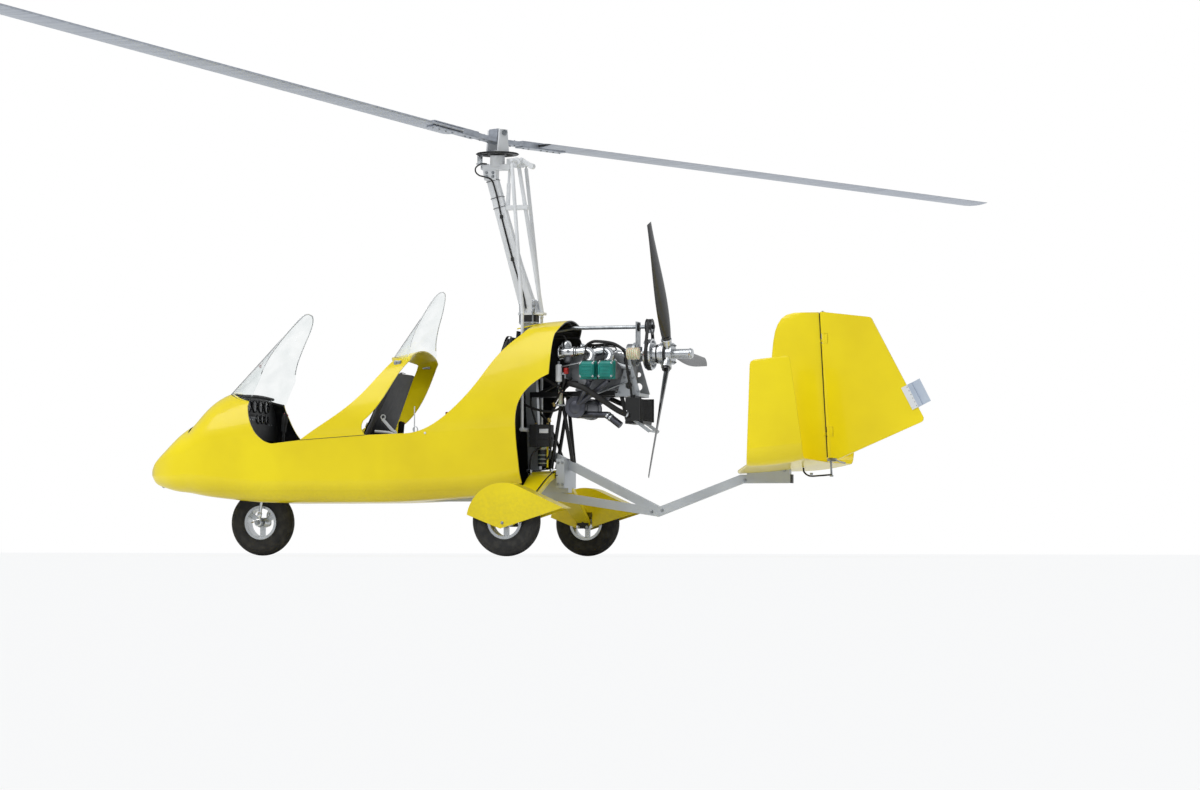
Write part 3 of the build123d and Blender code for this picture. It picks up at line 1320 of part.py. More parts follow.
def main():
    for name, x, y in (("left", 0, WHEEL_Y), ("right", 0, -WHEEL_Y), ("nose", NOSE_AXLE_X, 0)):
        write(f"tyre_{name}", tyre(x, y))
        write(f"rim_{name}", rim(x, y))
    write("main_axles", main_axle(), mirrored(main_axle()))
    write("gear_bow", gear_bow())
    write("gear_saddle", gear_saddle())
    write("wheel_spats", spat(), mirrored(spat()))
    belly, body, bow = pod_pieces()
    write("pod_belly", belly)
    write("pod_body", body)
    write("pod_bow", bow)
    write("windscreen_front", windscreen(FRONT_SCREEN, FRONT_SCREEN_TOP))
    write("windscreen_rear", windscreen(REAR_SCREEN, REAR_SCREEN_TOP))
    write("firewall", firewall())
    write("instrument_panel", instrument_panel())
    seats()
    controls()
    frame()
    nose_gear()
    write("mast", mast())
    write("control_rods", *push_rods(), trim_cylinder())
    write("rotor_head", rotor_head())
    rotor_spinner()
    write("rotor_hub_bar", hub_bar())
    write("rotor_blade_left", rotor_blade(1))
    write("rotor_blade_right", rotor_blade(-1))
    write("engine_block", engine_block())
    write("engine_cylinders", *cylinders())
    write("rocker_covers", *rocker_covers())
    write("intake_pipes", *intake())
    write("engine_mount", engine_mount())
    write("engine_rails", *engine_rails())
    write("engine_struts", *engine_struts())
    write("muffler", muffler())
    write("radiator", radiator(), radiator_struts())
    shaft, bracket = pre_rotator()
    write("pre_rotator_shaft", shaft, bracket)
    write("pre_rotator_belt", belt())
    write("battery_box", battery_box(), filter_bottle())
    write("prop_flange", prop_flange())
    write("prop_hub", prop_hub())
    write("prop_blades", *[prop_blade(index) for index in range(PROP_BLADES)])
    write("stabiliser", stabiliser())
    write("fin", fin())
    write("rudder", rudder())
    write("trim_tab", trim_tab())


main()
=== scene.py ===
"""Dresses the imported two-seat gyrocopter: materials, cushions, treads, hoses and fittings.

The pieces are laid out in millimetres with the station X measured ahead of the main axle,
+Y to the left and +Z up from the floor; m() turns that into the frame's metres.
"""

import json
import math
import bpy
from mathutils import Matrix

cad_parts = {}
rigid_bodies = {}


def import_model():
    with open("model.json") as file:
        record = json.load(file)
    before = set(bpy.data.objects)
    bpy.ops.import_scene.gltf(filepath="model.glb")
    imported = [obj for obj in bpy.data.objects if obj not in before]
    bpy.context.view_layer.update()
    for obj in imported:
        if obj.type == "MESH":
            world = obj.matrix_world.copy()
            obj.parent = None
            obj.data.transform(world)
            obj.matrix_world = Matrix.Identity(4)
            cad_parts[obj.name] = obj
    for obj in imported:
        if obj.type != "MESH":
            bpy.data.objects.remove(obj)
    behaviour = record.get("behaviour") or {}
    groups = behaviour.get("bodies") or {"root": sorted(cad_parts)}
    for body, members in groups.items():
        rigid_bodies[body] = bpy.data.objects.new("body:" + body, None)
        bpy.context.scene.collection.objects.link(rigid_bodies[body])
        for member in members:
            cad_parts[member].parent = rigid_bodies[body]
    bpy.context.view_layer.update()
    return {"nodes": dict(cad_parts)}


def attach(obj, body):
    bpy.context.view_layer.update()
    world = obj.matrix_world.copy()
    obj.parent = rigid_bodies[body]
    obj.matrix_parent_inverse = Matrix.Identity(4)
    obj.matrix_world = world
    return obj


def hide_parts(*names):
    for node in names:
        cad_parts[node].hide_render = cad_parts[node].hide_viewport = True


bl_info = {
    "name": "Two-seat gyrocopter",
    "version": (1, 0, 0),
    "blender": (4, 5, 0),
    "location": "View3D > Sidebar > Gyrocopter",
    "description": "Materials, soft goods and fittings of an open two-seat gyrocopter",
    "category": "Object",
}

import bmesh
import bpy
from bpy.props import FloatProperty, FloatVectorProperty, IntProperty
from mathutils import Matrix, Vector
from mathutils.bvhtree import BVHTree

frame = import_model()

SHIFT_X = -120
UP = (0, 0, 1)
DOWN = (0, 0, -1)
LEFT = (0, 1, 0)
RIGHT = (0, -1, 0)
AHEAD = (1, 0, 0)
BACK = (-1, 0, 0)
SIDES = (1, -1)
AXLE_Z = 200
PROP_Z = 1187
FORK_AXIS = (-0.153, 0, 0.988)
# Columns: name, station and side of the axle's middle, body that turns
WHEELS = (
    ("left", 0, 785, "main_wheel_left"),
    ("right", 0, -785, "main_wheel_right"),
    ("nose", 1820, 0, "nose_wheel"),
)
ROTOR_CENTRE = (327, 0, 2522)
ROTOR_HEADING = math.radians(59.5)
TEETER_REST = math.radians(4.0)
CONING = math.radians(3.0)
# Drop of the blades' plane below the rotor's centre, and of their mid chord behind the line of the bolts
HUB_DROP = 49
BLADE_MIDDLE = -51.25


def m(x, y, z):
    """Point in the frame's metres from a station, side and height in millimetres."""
    return Vector(((x + SHIFT_X) / 1000, y / 1000, z / 1000))


def linear(code):
    """Linear colour from an sRGB hex code."""
    channels = [int(code[i:i + 2], 16) / 255 for i in (0, 2, 4)]
    return tuple(c / 12.92 if c <= 0.04045 else ((c + 0.055) / 1.055) ** 2.4 for c in channels) + (1.0,)


# Materials
def link(tree, source, socket):
    """Links a socket, or the first output of a node, to another socket."""
    tree.links.new(source.outputs[0] if isinstance(source, bpy.types.Node) else source, socket)


def add(tree, kind, links=None, sockets=None, stops=(), **settings):
    """Adds a node with its settings, socket values, a colour ramp's stops and incoming links."""
    node = tree.nodes.new(kind)
    for key, value in settings.items():
        setattr(node, key, value)
    for key, value in (sockets or {}).items():
        node.inputs[key].default_value = value
    for number, (position, code) in enumerate(stops):
        node.color_ramp.elements[number].position = position
        node.color_ramp.elements[number].color = linear(code)
    for key, source in (links or {}).items():
        link(tree, source, node.inputs[key])
    return node


def start_material(name):
    """New material with its tree, object coordinates and shader."""
    material = bpy.data.materials.new(name)
    material.use_nodes = True
    tree = material.node_tree
    tree.nodes.clear()
    place = add(tree, "ShaderNodeTexCoord").outputs["Object"]
    shader = add(tree, "ShaderNodeBsdfPrincipled")
    add(tree, "ShaderNodeOutputMaterial", {"Surface": shader.outputs["BSDF"]})
    return material, tree, place, shader


def coat(tree, shader, colour, rough, relief=None, **values):
    """Gives a shader its colour, roughness, relief and even values.

    rough is a value that drifts over the piece and the limits that it moves between. relief is a height,
    its strength, its depth and the radius in metres by which edges look rounded, or 0.
    """
    drifting, low, high = rough
    made = {
        "Base Color": colour,
        "Roughness": add(tree, "ShaderNodeMapRange", {"Value": drifting}, {"To Min": low, "To Max": high}),
    }
    if relief:
        height, strength, depth, edge = relief
        links = {"Height": height}
        if edge:
            links["Normal"] = add(tree, "ShaderNodeBevel", sockets={"Radius": edge}, samples=4)
        made["Normal"] = add(tree, "ShaderNodeBump", links, {"Strength": strength, "Distance": depth})
    for key, source in made.items():
        link(tree, source, shader.inputs[key])
    for key, value in values.items():
        shader.inputs[key.replace("_", " ")].default_value = value


def surface(name, low, high, tone_scale, rough, grain_scale, grain_depth, metallic=0.0, stretch=None,
            turn=0.0):
    """Painted or metal finish: tone drift, roughness drift and a fine grain, each from its own noise.

    Where stretch is given, tone and grain are scaled by it along the axes after a turn about the vertical.
    """
    material, tree, place, shader = start_material(name)
    wear = add(tree, "ShaderNodeTexNoise", {"Vector": place}, {"Scale": tone_scale * 2.7, "Detail": 5.0})
    if stretch:
        turned = {"Scale": stretch, "Rotation": (0, 0, turn)}
        place = add(tree, "ShaderNodeMapping", {"Vector": place}, turned)
    drift = add(tree, "ShaderNodeTexNoise", {"Vector": place}, {"Scale": tone_scale, "Detail": 4.0})
    tone = add(tree, "ShaderNodeValToRGB", {"Fac": drift}, stops=((0.3, low), (0.7, high)))
    grain = add(tree, "ShaderNodeTexNoise", {"Vector": place}, {"Scale": grain_scale, "Detail": 2.0})
    coat(tree, shader, tone, (wear, *rough), (grain, 0.5, grain_depth, EDGE_RADIUS), Metallic=metallic)
    return material


# The pod's middle line in metres: stations between which it sinks towards the nose, and heights there
MIDDLE_STATIONS = (1.18, 2.38)
MIDDLE_HEIGHTS = (0.76, 0.424)


def inside_shade_share(tree, place):
    """Share of painted shade: one where a face of the pod's shell looks towards the pod's middle line, and
    none on its outside.
    """
    spot = add(tree, "ShaderNodeSeparateXYZ", {"Vector": place}).outputs
    slope = dict(zip(("From Min", "From Max", "To Min", "To Max"), MIDDLE_STATIONS + MIDDLE_HEIGHTS))
    middle = add(tree, "ShaderNodeMapRange", {"Value": spot["X"]}, slope)
    rise = add(tree, "ShaderNodeMath", {0: spot["Z"], 1: middle}, operation="SUBTRACT")
    arm = add(tree, "ShaderNodeCombineXYZ", {"Y": spot["Y"], "Z": rise})
    normal = tree.nodes["Texture Coordinate"].outputs["Normal"]
    facing = add(tree, "ShaderNodeVectorMath", {0: normal, 1: arm}, operation="DOT_PRODUCT").outputs["Value"]
    return add(tree, "ShaderNodeMapRange", {"Value": facing}, {"From Min": -0.02, "From Max": -0.03})


def gelcoat(name, low, high, painted_shade_inside=False):
    """Gelcoat over glass fibre: deep even colour, hard gloss and a faint 12 mm waviness; darker and browner
    in a soft speckle towards the bottom.

    The pod's own shell has painted shade inside: near black with a soft speckle, where the cockpit's hollow
    lies in shade.
    """
    material, tree, place, shader = start_material(name)
    drift = add(tree, "ShaderNodeTexNoise", {"Vector": place}, {"Scale": 2.2, "Detail": 3.0})
    tone = add(tree, "ShaderNodeValToRGB", {"Fac": drift}, stops=((0.3, low), (0.7, high)))
    height = add(tree, "ShaderNodeSeparateXYZ", {"Vector": place}).outputs["Z"]
    # Darker towards the bottom: from 0.46 m down to 0.30 m, up to 35 % of the colour turns to a dull ochre in
    # a soft speckle
    fade = {"From Min": 0.30, "From Max": 0.46, "To Min": 0.35, "To Max": 0.0}
    low_down = add(tree, "ShaderNodeMapRange", {"Value": height}, fade)
    speckle = add(tree, "ShaderNodeTexNoise", {"Vector": place}, {"Scale": 60.0, "Detail": 6.0})
    speckle_share = add(tree, "ShaderNodeMath", {0: low_down, 1: speckle}, operation="MULTIPLY")
    colour = add(tree, "ShaderNodeMix", {"Factor": speckle_share, "A": tone}, data_type="RGBA")
    colour.inputs["B"].default_value = linear("8A7B3A")
    # Painted shade: the inside faces of the pod's shell turn near black with a soft speckle, where the
    # cockpit's hollow lies in shade
    if painted_shade_inside:
        inside_shade_tone = add(tree, "ShaderNodeValToRGB", {"Fac": speckle}, stops=((0.35, "0B0C0D"), (0.65, "191A1C")))
        links = {"Factor": inside_shade_share(tree, place), "A": colour.outputs["Result"], "B": inside_shade_tone}
        colour = add(tree, "ShaderNodeMix", links, data_type="RGBA")
    wear = add(tree, "ShaderNodeTexNoise", {"Vector": place}, {"Scale": 8.0, "Detail": 5.0})
    waves = add(tree, "ShaderNodeTexNoise", {"Vector": place}, {"Scale": 80.0, "Detail": 1.0})
    coat(tree, shader, colour.outputs["Result"], (wear, 0.26, 0.36), (waves, 0.15, 0.0002, 0.003),
         Specular_IOR_Level=0.35, Coat_Weight=0.35, Coat_Roughness=0.06)
    return material


def tyre_rubber():
    """Natural tyre rubber: near black, matt, with a fine mould grain and grey dust in the texture."""
    material, tree, place, shader = start_material("tyre_rubber")
    speckle_share = add(tree, "ShaderNodeTexNoise", {"Vector": place}, {"Scale": 26.0, "Detail": 6.0})
    tone = add(tree, "ShaderNodeValToRGB", {"Fac": speckle_share}, stops=((0.42, "161616"), (0.78, "34322E")))
    wear = add(tree, "ShaderNodeTexNoise", {"Vector": place}, {"Scale": 40.0, "Detail": 4.0})
    grain = add(tree, "ShaderNodeTexNoise", {"Vector": place}, {"Scale": 700.0, "Detail": 2.0})
    coat(tree, shader, tone, (wear, 0.62, 0.86), (grain, 0.6, 0.0004, 0))
    return material


def seat_cloth():
    """Coated nylon cloth: black plain weave of 1.2 mm threads with a soft sheen."""
    material, tree, place, shader = start_material("coated_nylon_cloth")
    parts = add(tree, "ShaderNodeSeparateXYZ", {"Vector": place}).outputs
    waves = []
    for axis in ("Y", "Z"):
        phase = add(tree, "ShaderNodeMath", {0: parts[axis]}, {1: THREADS}, operation="MULTIPLY")
        waves.append(add(tree, "ShaderNodeMath", {0: phase}, operation="SINE"))
    weave = add(tree, "ShaderNodeMath", {0: waves[0], 1: waves[1]}, operation="MULTIPLY")
    patches = add(tree, "ShaderNodeTexNoise", {"Vector": place}, {"Scale": 14.0, "Detail": 5.0})
    worn = add(tree, "ShaderNodeMath", {0: weave, 1: patches}, operation="MULTIPLY")
    tone = add(tree, "ShaderNodeValToRGB", {"Fac": worn}, stops=((0.0, "141416"), (0.5, "2A2A2E")))
    wear = add(tree, "ShaderNodeTexNoise", {"Vector": place}, {"Scale": 22.0, "Detail": 3.0})
    coat(tree, shader, tone, (wear, 0.6, 0.8), (weave, 0.35, 0.0003, 0), Sheen_Weight=0.25,
         Sheen_Roughness=0.4)
    return material


def carbon_cloth():
    """Twill carbon cloth under clear resin: 2 mm tows at right angles that catch light in turn."""
    material, tree, place, shader = start_material("carbon_twill")
    turn = {"Rotation": (0.0, 0.0, 0.785)}
    turned = add(tree, "ShaderNodeMapping", {"Vector": place}, turn)
    colours = {"Scale": 500.0, "Color1": linear("101012"), "Color2": linear("26272A")}
    checks = add(tree, "ShaderNodeTexChecker", {"Vector": turned}, colours)
    tow = checks.outputs["Fac"]
    coat(tree, shader, checks, (tow, 0.28, 0.42), (tow, 0.2, 0.0002, 0), Coat_Weight=0.5, Coat_Roughness=0.1)
    return material


def polycarbonate():
    """Clear blown polycarbonate sheet: almost colourless, glossy, with a trace of cleaning haze."""
    material, tree, place, shader = start_material("polycarbonate_sheet")
    haze = add(tree, "ShaderNodeTexNoise", {"Vector": place}, {"Scale": 9.0, "Detail": 6.0})
    tone = add(tree, "ShaderNodeValToRGB", {"Fac": haze}, stops=((0.35, "EDF1F1"), (0.65, "F9FBFB")))
    coat(tree, shader, tone, (haze, 0.0, 0.02), IOR=1.2, Transmission_Weight=1.0)
    return material


def blown_bottle():
    """Milky polyethylene of the bottle: translucent, soft gloss, faint mould ripples."""
    material = surface("polyethylene", "CFC9AE", "E4DFC6", 12.0, (0.3, 0.45), 180.0, 0.0003)
    material.node_tree.nodes["Principled BSDF"].inputs["Subsurface Weight"].default_value = 0.3
    return material


def exhaust_steel():
    """Stainless exhaust sheet that has been hot: dull blue grey bloom over brushed metal."""
    material, tree, place, shader = start_material("heat_stained_stainless")
    bloom = add(tree, "ShaderNodeTexNoise", {"Vector": place}, {"Scale": 9.0, "Detail": 5.0})
    tone = add(tree, "ShaderNodeValToRGB", {"Fac": bloom}, stops=((0.3, "44454C"), (0.7, "6E7079")))
    wear = add(tree, "ShaderNodeTexNoise", {"Vector": place}, {"Scale": 30.0, "Detail": 5.0})
    brushed = add(tree, "ShaderNodeTexNoise", {"Vector": place}, {"Scale": 420.0, "Detail": 2.0})
    coat(tree, shader, tone, (wear, 0.32, 0.55), (brushed, 0.3, 0.0002, 0.002), Metallic=0.85)
    return material


# Radius in metres by which the powder coats and metals look rounded at their edges
EDGE_RADIUS = 0.0015
# Phase of the cloth's threads for each metre, 1.2 mm from thread to thread
THREADS = 5200.0
# Columns: key, name, low and high colour, tone scale, roughness range, grain scale, grain depth, metallic
FINISHES = (
    # powder coat with aluminium flake: even light silver, soft gloss, orange peel of about 1.5 mm
    ("silver", "silver_powder_coat", "A9ADB1", "C4C8CB", 3.0, (0.3, 0.42), 650.0, 0.0001, 0.55),
    # white powder coat of the mast: clean, half gloss, light grey where hands and grease reach
    ("white", "white_powder_coat", "D2D4D6", "E6E8EA", 4.0, (0.3, 0.45), 650.0, 0.0001, 0.0),
    # black powder coat: satin, faint dust tone
    ("black", "black_powder_coat", "08090A", "121315", 8.0, (0.36, 0.52), 600.0, 0.00012, 0.0),
    # zinc plated steel: bright with a cool cloudiness
    ("steel", "zinc_plated_steel", "8F9397", "B4B8BB", 30.0, (0.25, 0.42), 900.0, 0.00008, 1.0),
    # as cast aluminium: sand texture of about 1 mm, dull
    ("cast", "cast_aluminium", "74767A", "96989B", 18.0, (0.42, 0.6), 900.0, 0.0004, 0.9),
    # turned aluminium of rims and prop tube: finer and brighter than the casting
    ("turned", "turned_aluminium", "B6B9BC", "D2D5D7", 12.0, (0.2, 0.34), 1400.0, 0.00005, 1.0),
    # black moulded rubber: hoses, belt, mast block
    ("rubber", "moulded_rubber", "131313", "222120", 20.0, (0.55, 0.75), 800.0, 0.0002, 0.0),
    # black moulded plastic with a leather-like grain of about 1 mm
    ("plastic", "moulded_plastic", "0F1011", "1A1C1E", 10.0, (0.42, 0.58), 1100.0, 0.0003, 0.0),
    # teal enamel over the cast rocker covers: glossy with slight brush-like drift
    ("teal", "teal_enamel", "0A6E66", "11897E", 14.0, (0.28, 0.42), 500.0, 0.0003, 0.15),
    # yellow chromate plating: gold brown fittings
    ("brass", "chromated_fitting", "A98F52", "C9B478", 40.0, (0.3, 0.5), 900.0, 0.0001, 0.9),
    # polished aluminium castings: near mirror with a faint ripple
    ("bright", "polished_aluminium", "C4C7CA", "E2E4E6", 12.0, (0.12, 0.24), 1200.0, 0.00004, 1.0),
    # red acrylic of knobs, buttons and the pump's cover: deep and glossy
    ("red", "red_acrylic", "9E1207", "C81E0E", 30.0, (0.12, 0.2), 700.0, 0.0001, 0.0),
    # glass of the dials: almost black, hard gloss
    ("dark_glass", "instrument_glass", "0B0D10", "14181C", 20.0, (0.05, 0.12), 500.0, 0.00003, 0.0),
    # woven polyester belts: dull, with a coarse thread relief
    ("webbing", "polyester_webbing", "16171A", "26282C", 90.0, (0.6, 0.8), 900.0, 0.0005, 0.0),
    # pale blue grey sheet of the rudder's tab
    ("sheet", "pale_painted_sheet", "AAB6C8", "BCC7D6", 6.0, (0.34, 0.46), 700.0, 0.00008, 0.1),
    # painted highlight: white bead over the cut edge of the screens, standing for the light that the clear
    # sheet's edge catches
    ("edging", "vinyl_edging", "E4E6E8", "F4F5F6", 20.0, (0.3, 0.4), 400.0, 0.00005, 0.0),
)


def blade_aluminium():
    """Extruded blade skin in grey anodising: faint lines along the span, cool and half matt."""
    return surface("anodised_extrusion", "A3A8B2", "BEC3CC", 40.0, (0.32, 0.46), 260.0, 0.0001, 0.6,
                   (0.02, 1.0, 1.0), -ROTOR_HEADING)


def make_materials():
    """All finishes by a short key."""
    made = {key: surface(*row) for key, *row in FINISHES}
    made["yellow"] = gelcoat("yellow_gelcoat", "E6CE00", "F4DE00")
    # The pod's shell, with painted shade on its inside
    made["pod"] = gelcoat("yellow_gelcoat_black_inside", "E6CE00", "F4DE00", True)
    made["tyre"] = tyre_rubber()
    made["cloth"] = seat_cloth()
    made["carbon"] = carbon_cloth()
    made["clear"] = polycarbonate()
    made["bottle"] = blown_bottle()
    made["exhaust"] = exhaust_steel()
    made["blade"] = blade_aluminium()
    return made


# Columns: key of the finish, CAD nodes that carry it
NODE_FINISHES = (
    ("pod", ("pod_body", "pod_belly")),
    ("yellow", ("pod_bow", "wheel_spats", "fin", "rudder", "stabiliser", "gear_bow")),
    ("silver", ("keel_tube", "nose_beam", "tail_boom", "diagonal_tube", "lower_mast", "gear_saddle",
                "engine_mount")),
    ("sheet", ("trim_tab",)),
    ("white", ("mast", "control_rods", "rotor_head", "rotor_tower")),
    ("black", ("engine_rails", "engine_struts", "rotor_ring_gear", "radiator", "nose_head_tube", "firewall")),
    ("steel", ("main_axles", "nose_axle", "teeter_bolt", "pre_rotator_shaft")),
    ("turned", ("rim_left", "rim_right", "rim_nose", "prop_hub", "prop_flange")),
    ("cast", ("engine_block", "engine_cylinders")),
    ("bright", ("intake_pipes", "nose_fork")),
    ("blade", ("rotor_hub_bar", "rotor_blade_left", "rotor_blade_right")),
    ("tyre", ("tyre_left", "tyre_right", "tyre_nose")),
    ("rubber", ("mast_rubber_block", "pre_rotator_belt")),
    ("cloth", ("seat_cushions",)),
    ("plastic", ("seat_pans", "instrument_panel", "cockpit_controls", "battery_box")),
    ("carbon", ("prop_blades",)),
    ("clear", ("windscreen_front", "windscreen_rear")),
    ("teal", ("rocker_covers",)),
    ("exhaust", ("muffler",)),
)


# Shapes
def curve_points(points, steps):
    """Catmull-Rom points through the given ones, so many steps a run."""
    if len(points) < 3:
        return [points[0].lerp(points[-1], i / steps) for i in range(steps + 1)]
    ends = [points[0] * 2 - points[1]] + list(points) + [points[-1] * 2 - points[-2]]
    made = []
    for i in range(1, len(ends) - 2):
        p0, p1, p2, p3 = ends[i - 1:i + 3]
        for step in range(steps):
            t = step / steps
            made.append(0.5 * (2 * p1 + (p2 - p0) * t + (2 * p0 - 5 * p1 + 4 * p2 - p3) * t**2
                               + (3 * p1 - p0 - 3 * p2 + p3) * t**3))
    made.append(points[-1].copy())
    return made


def mirrored(value, side):
    """A value with the side of each point and direction in it turned over where side is -1."""
    if not isinstance(value, tuple):
        return value
    if len(value) == 3 and not isinstance(value[0], tuple):
        return value[0], value[1] * side, value[2]
    return tuple(mirrored(inner, side) for inner in value)


def square_to(axis):
    """Unit vector along an axis and two more square to it."""
    axis = Vector(axis).normalized()
    guess = Vector(UP) if abs(axis.z) < 0.9 else Vector(AHEAD)
    u = (guess - axis * guess.dot(axis)).normalized()
    return axis, u, axis.cross(u)


def band(inner, outer, width, start=0):
    """Profile of a flat band for Build.ring."""
    return (start, inner), (start, outer), (start + width, outer), (start + width, inner)


def rim(inner, outer, crown, step, width):
    """Profile of a band whose corners are broken off up to its crown."""
    return (0, inner), (0, outer), (step, crown), (width - step, crown), (width, outer), (width, inner)


class Build:
    """Collects the closed forms of one piece in a mesh; sizes and places are millimetres and stations."""

    def __init__(self):
        self.bm = bmesh.new()

    def rings(self, rings, loop=False):
        """Skins rings of points one after another, closed at both ends or back to the first."""
        rows = [[self.bm.verts.new(p) for p in ring] for ring in rings]
        count = len(rows[0])
        pairs = list(zip(rows, rows[1:])) + ([(rows[-1], rows[0])] if loop else [])
        for a, b in pairs:
            for i in range(count):
                j = (i + 1) % count
                self.bm.faces.new((a[i], a[j], b[j], b[i]))
        if not loop:
            self.bm.faces.new(rows[0][::-1])
            self.bm.faces.new(rows[-1])

    def tube(self, points, radius, sides=12, steps=6, flat=1.0, up=None):
        """Round or flattened section swept along a smooth line through the points."""
        line = curve_points([m(*p) for p in points], steps)
        radius_m = radius / 1000
        normal = None
        rings = []
        for i, p in enumerate(line):
            along = (line[min(i + 1, len(line) - 1)] - line[max(i - 1, 0)]).normalized()
            if normal is None:
                normal = Vector(up) if up else square_to(along)[1]
            normal = (normal - along * normal.dot(along)).normalized()
            side = along.cross(normal)
            ring = []
            for k in range(sides):
                a = 2 * math.pi * k / sides
                ring.append(p + side * (radius_m * math.cos(a)) + normal * (radius_m * flat * math.sin(a)))
            rings.append(ring)
        self.rings(rings)

    def lathe(self, profile, origin, axis, sides=32, loop=False):
        """Turns a profile of (along, radius) about an axis from origin; ends on the axis are closed flat."""
        axis, u, v = square_to(axis)
        start = m(*origin)
        rings = []
        for along, radius in profile:
            centre = start + axis * (along / 1000)
            ring = []
            for k in range(sides):
                a = 2 * math.pi * k / sides
                ring.append(centre + (u * math.cos(a) + v * math.sin(a)) * (max(radius, 0.01) / 1000))
            rings.append(ring)
        self.rings(rings, loop)

    def ring(self, profile, origin, axis, sides=32):
        """Turns a closed profile about an axis."""
        self.lathe(profile, origin, axis, sides, True)

    def knob(self, origin, axis, radius, length, soft=2.0, sides=24):
        """Short turned boss with rounded rims at both ends."""
        end = ((0, radius - soft), (soft * 0.3, radius - soft * 0.3), (soft, radius))
        self.lathe(end + tuple((length - along, wide) for along, wide in end[::-1]), origin, axis, sides)

    def block(self, low, high, soft=2.0, turn=None, pivot=None):
        """Box between two corners with rounded edges, turned about a pivot where a matrix is given."""
        part = bmesh.new()
        bmesh.ops.create_cube(part, size=1.0)
        size = [abs(b - a) / 1000 for a, b in zip(low, high)]
        centre = (m(*low) + m(*high)) / 2
        bmesh.ops.scale(part, vec=size, verts=part.verts)
        if soft:
            bmesh.ops.bevel(part, geom=part.edges[:], offset=min(soft / 1000, min(size) * 0.45), segments=2,
                            profile=0.6, affect="EDGES")
        bmesh.ops.translate(part, vec=centre, verts=part.verts)
        if turn is not None:
            bmesh.ops.rotate(part, cent=m(*pivot) if pivot else centre, matrix=turn, verts=part.verts)
        self.take(part)

    def plate(self, corners, thickness, soft=1.0):
        """Flat plate from the closed outline of 3-D corners, grown along its normal."""
        part = bmesh.new()
        verts = [part.verts.new(m(*c)) for c in corners]
        face = part.faces.new(verts)
        face.normal_update()
        grown = bmesh.ops.extrude_face_region(part, geom=[face])
        moved = [g for g in grown["geom"] if isinstance(g, bmesh.types.BMVert)]
        bmesh.ops.translate(part, vec=face.normal * (thickness / 1000), verts=moved)
        bmesh.ops.recalc_face_normals(part, faces=part.faces)
        bmesh.ops.bevel(part, geom=part.edges[:], offset=soft / 1000, segments=1, affect="EDGES")
        self.take(part)

    def take(self, part):
        """Adds another mesh's forms to this one."""
        mesh = bpy.data.meshes.new("part")
        part.to_mesh(mesh)
        part.free()
        self.bm.from_mesh(mesh)
        bpy.data.meshes.remove(mesh)

    def done(self, name, material, body, smooth=35.0):
        """Makes the piece, with outward faces, its material and the body that it rides on."""
        bmesh.ops.recalc_face_normals(self.bm, faces=self.bm.faces)
        mesh = bpy.data.meshes.new(name)
        self.bm.to_mesh(mesh)
        self.bm.free()
        return place_mesh(name, mesh, material, body, smooth)


def put(name, data):
    """Object for some data, linked to the scene."""
    obj = bpy.data.objects.new(name, data)
    bpy.context.scene.collection.objects.link(obj)
    return obj


def place_mesh(name, mesh, material, body, smooth):
    """Object for a finished mesh, smooth up to an angle, riding on a body."""
    mesh.materials.clear()
    mesh.materials.append(MATERIALS[material])
    mesh.shade_smooth()
    mesh.set_sharp_from_angle(angle=math.radians(smooth))
    obj = put(name, mesh)
    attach(obj, body)
    return obj


# Trees for what repeats
def repeat_tree(name, build_item):
    """Tree that sets one item on every point, aimed along the point's own direction; sizes are in metres."""
    tree = bpy.data.node_groups.new(name, "GeometryNodeTree")
    tree.interface.new_socket(name="Points", in_out="INPUT", socket_type="NodeSocketGeometry")
    for label, default in (("Head width", 0.013), ("Head height", 0.006)):
        socket = tree.interface.new_socket(name=label, in_out="INPUT", socket_type="NodeSocketFloat")
        socket.default_value = default
    tree.interface.new_socket(name="Material", in_out="INPUT", socket_type="NodeSocketMaterial")
    tree.interface.new_socket(name="Mesh", in_out="OUTPUT", socket_type="NodeSocketGeometry")
    group_in = add(tree, "NodeGroupInput")
    item = build_item(tree, group_in.outputs["Head width"], group_in.outputs["Head height"])
    aim = add(tree, "GeometryNodeInputNamedAttribute", sockets={"Name": "aim"}, data_type="FLOAT_VECTOR")
    turn = add(tree, "FunctionNodeAlignRotationToVector", {"Vector": aim.outputs["Attribute"]}, axis="Z")
    set_down = add(tree, "GeometryNodeInstanceOnPoints", {
        "Points": group_in.outputs["Points"], "Instance": item, "Rotation": turn.outputs["Rotation"],
    })
    real = add(tree, "GeometryNodeRealizeInstances", {"Geometry": set_down.outputs["Instances"]})
    painted = add(tree, "GeometryNodeSetMaterial", {
        "Geometry": real.outputs["Geometry"], "Material": group_in.outputs["Material"],
    })
    add(tree, "NodeGroupOutput", {"Mesh": painted.outputs["Geometry"]})
    return tree


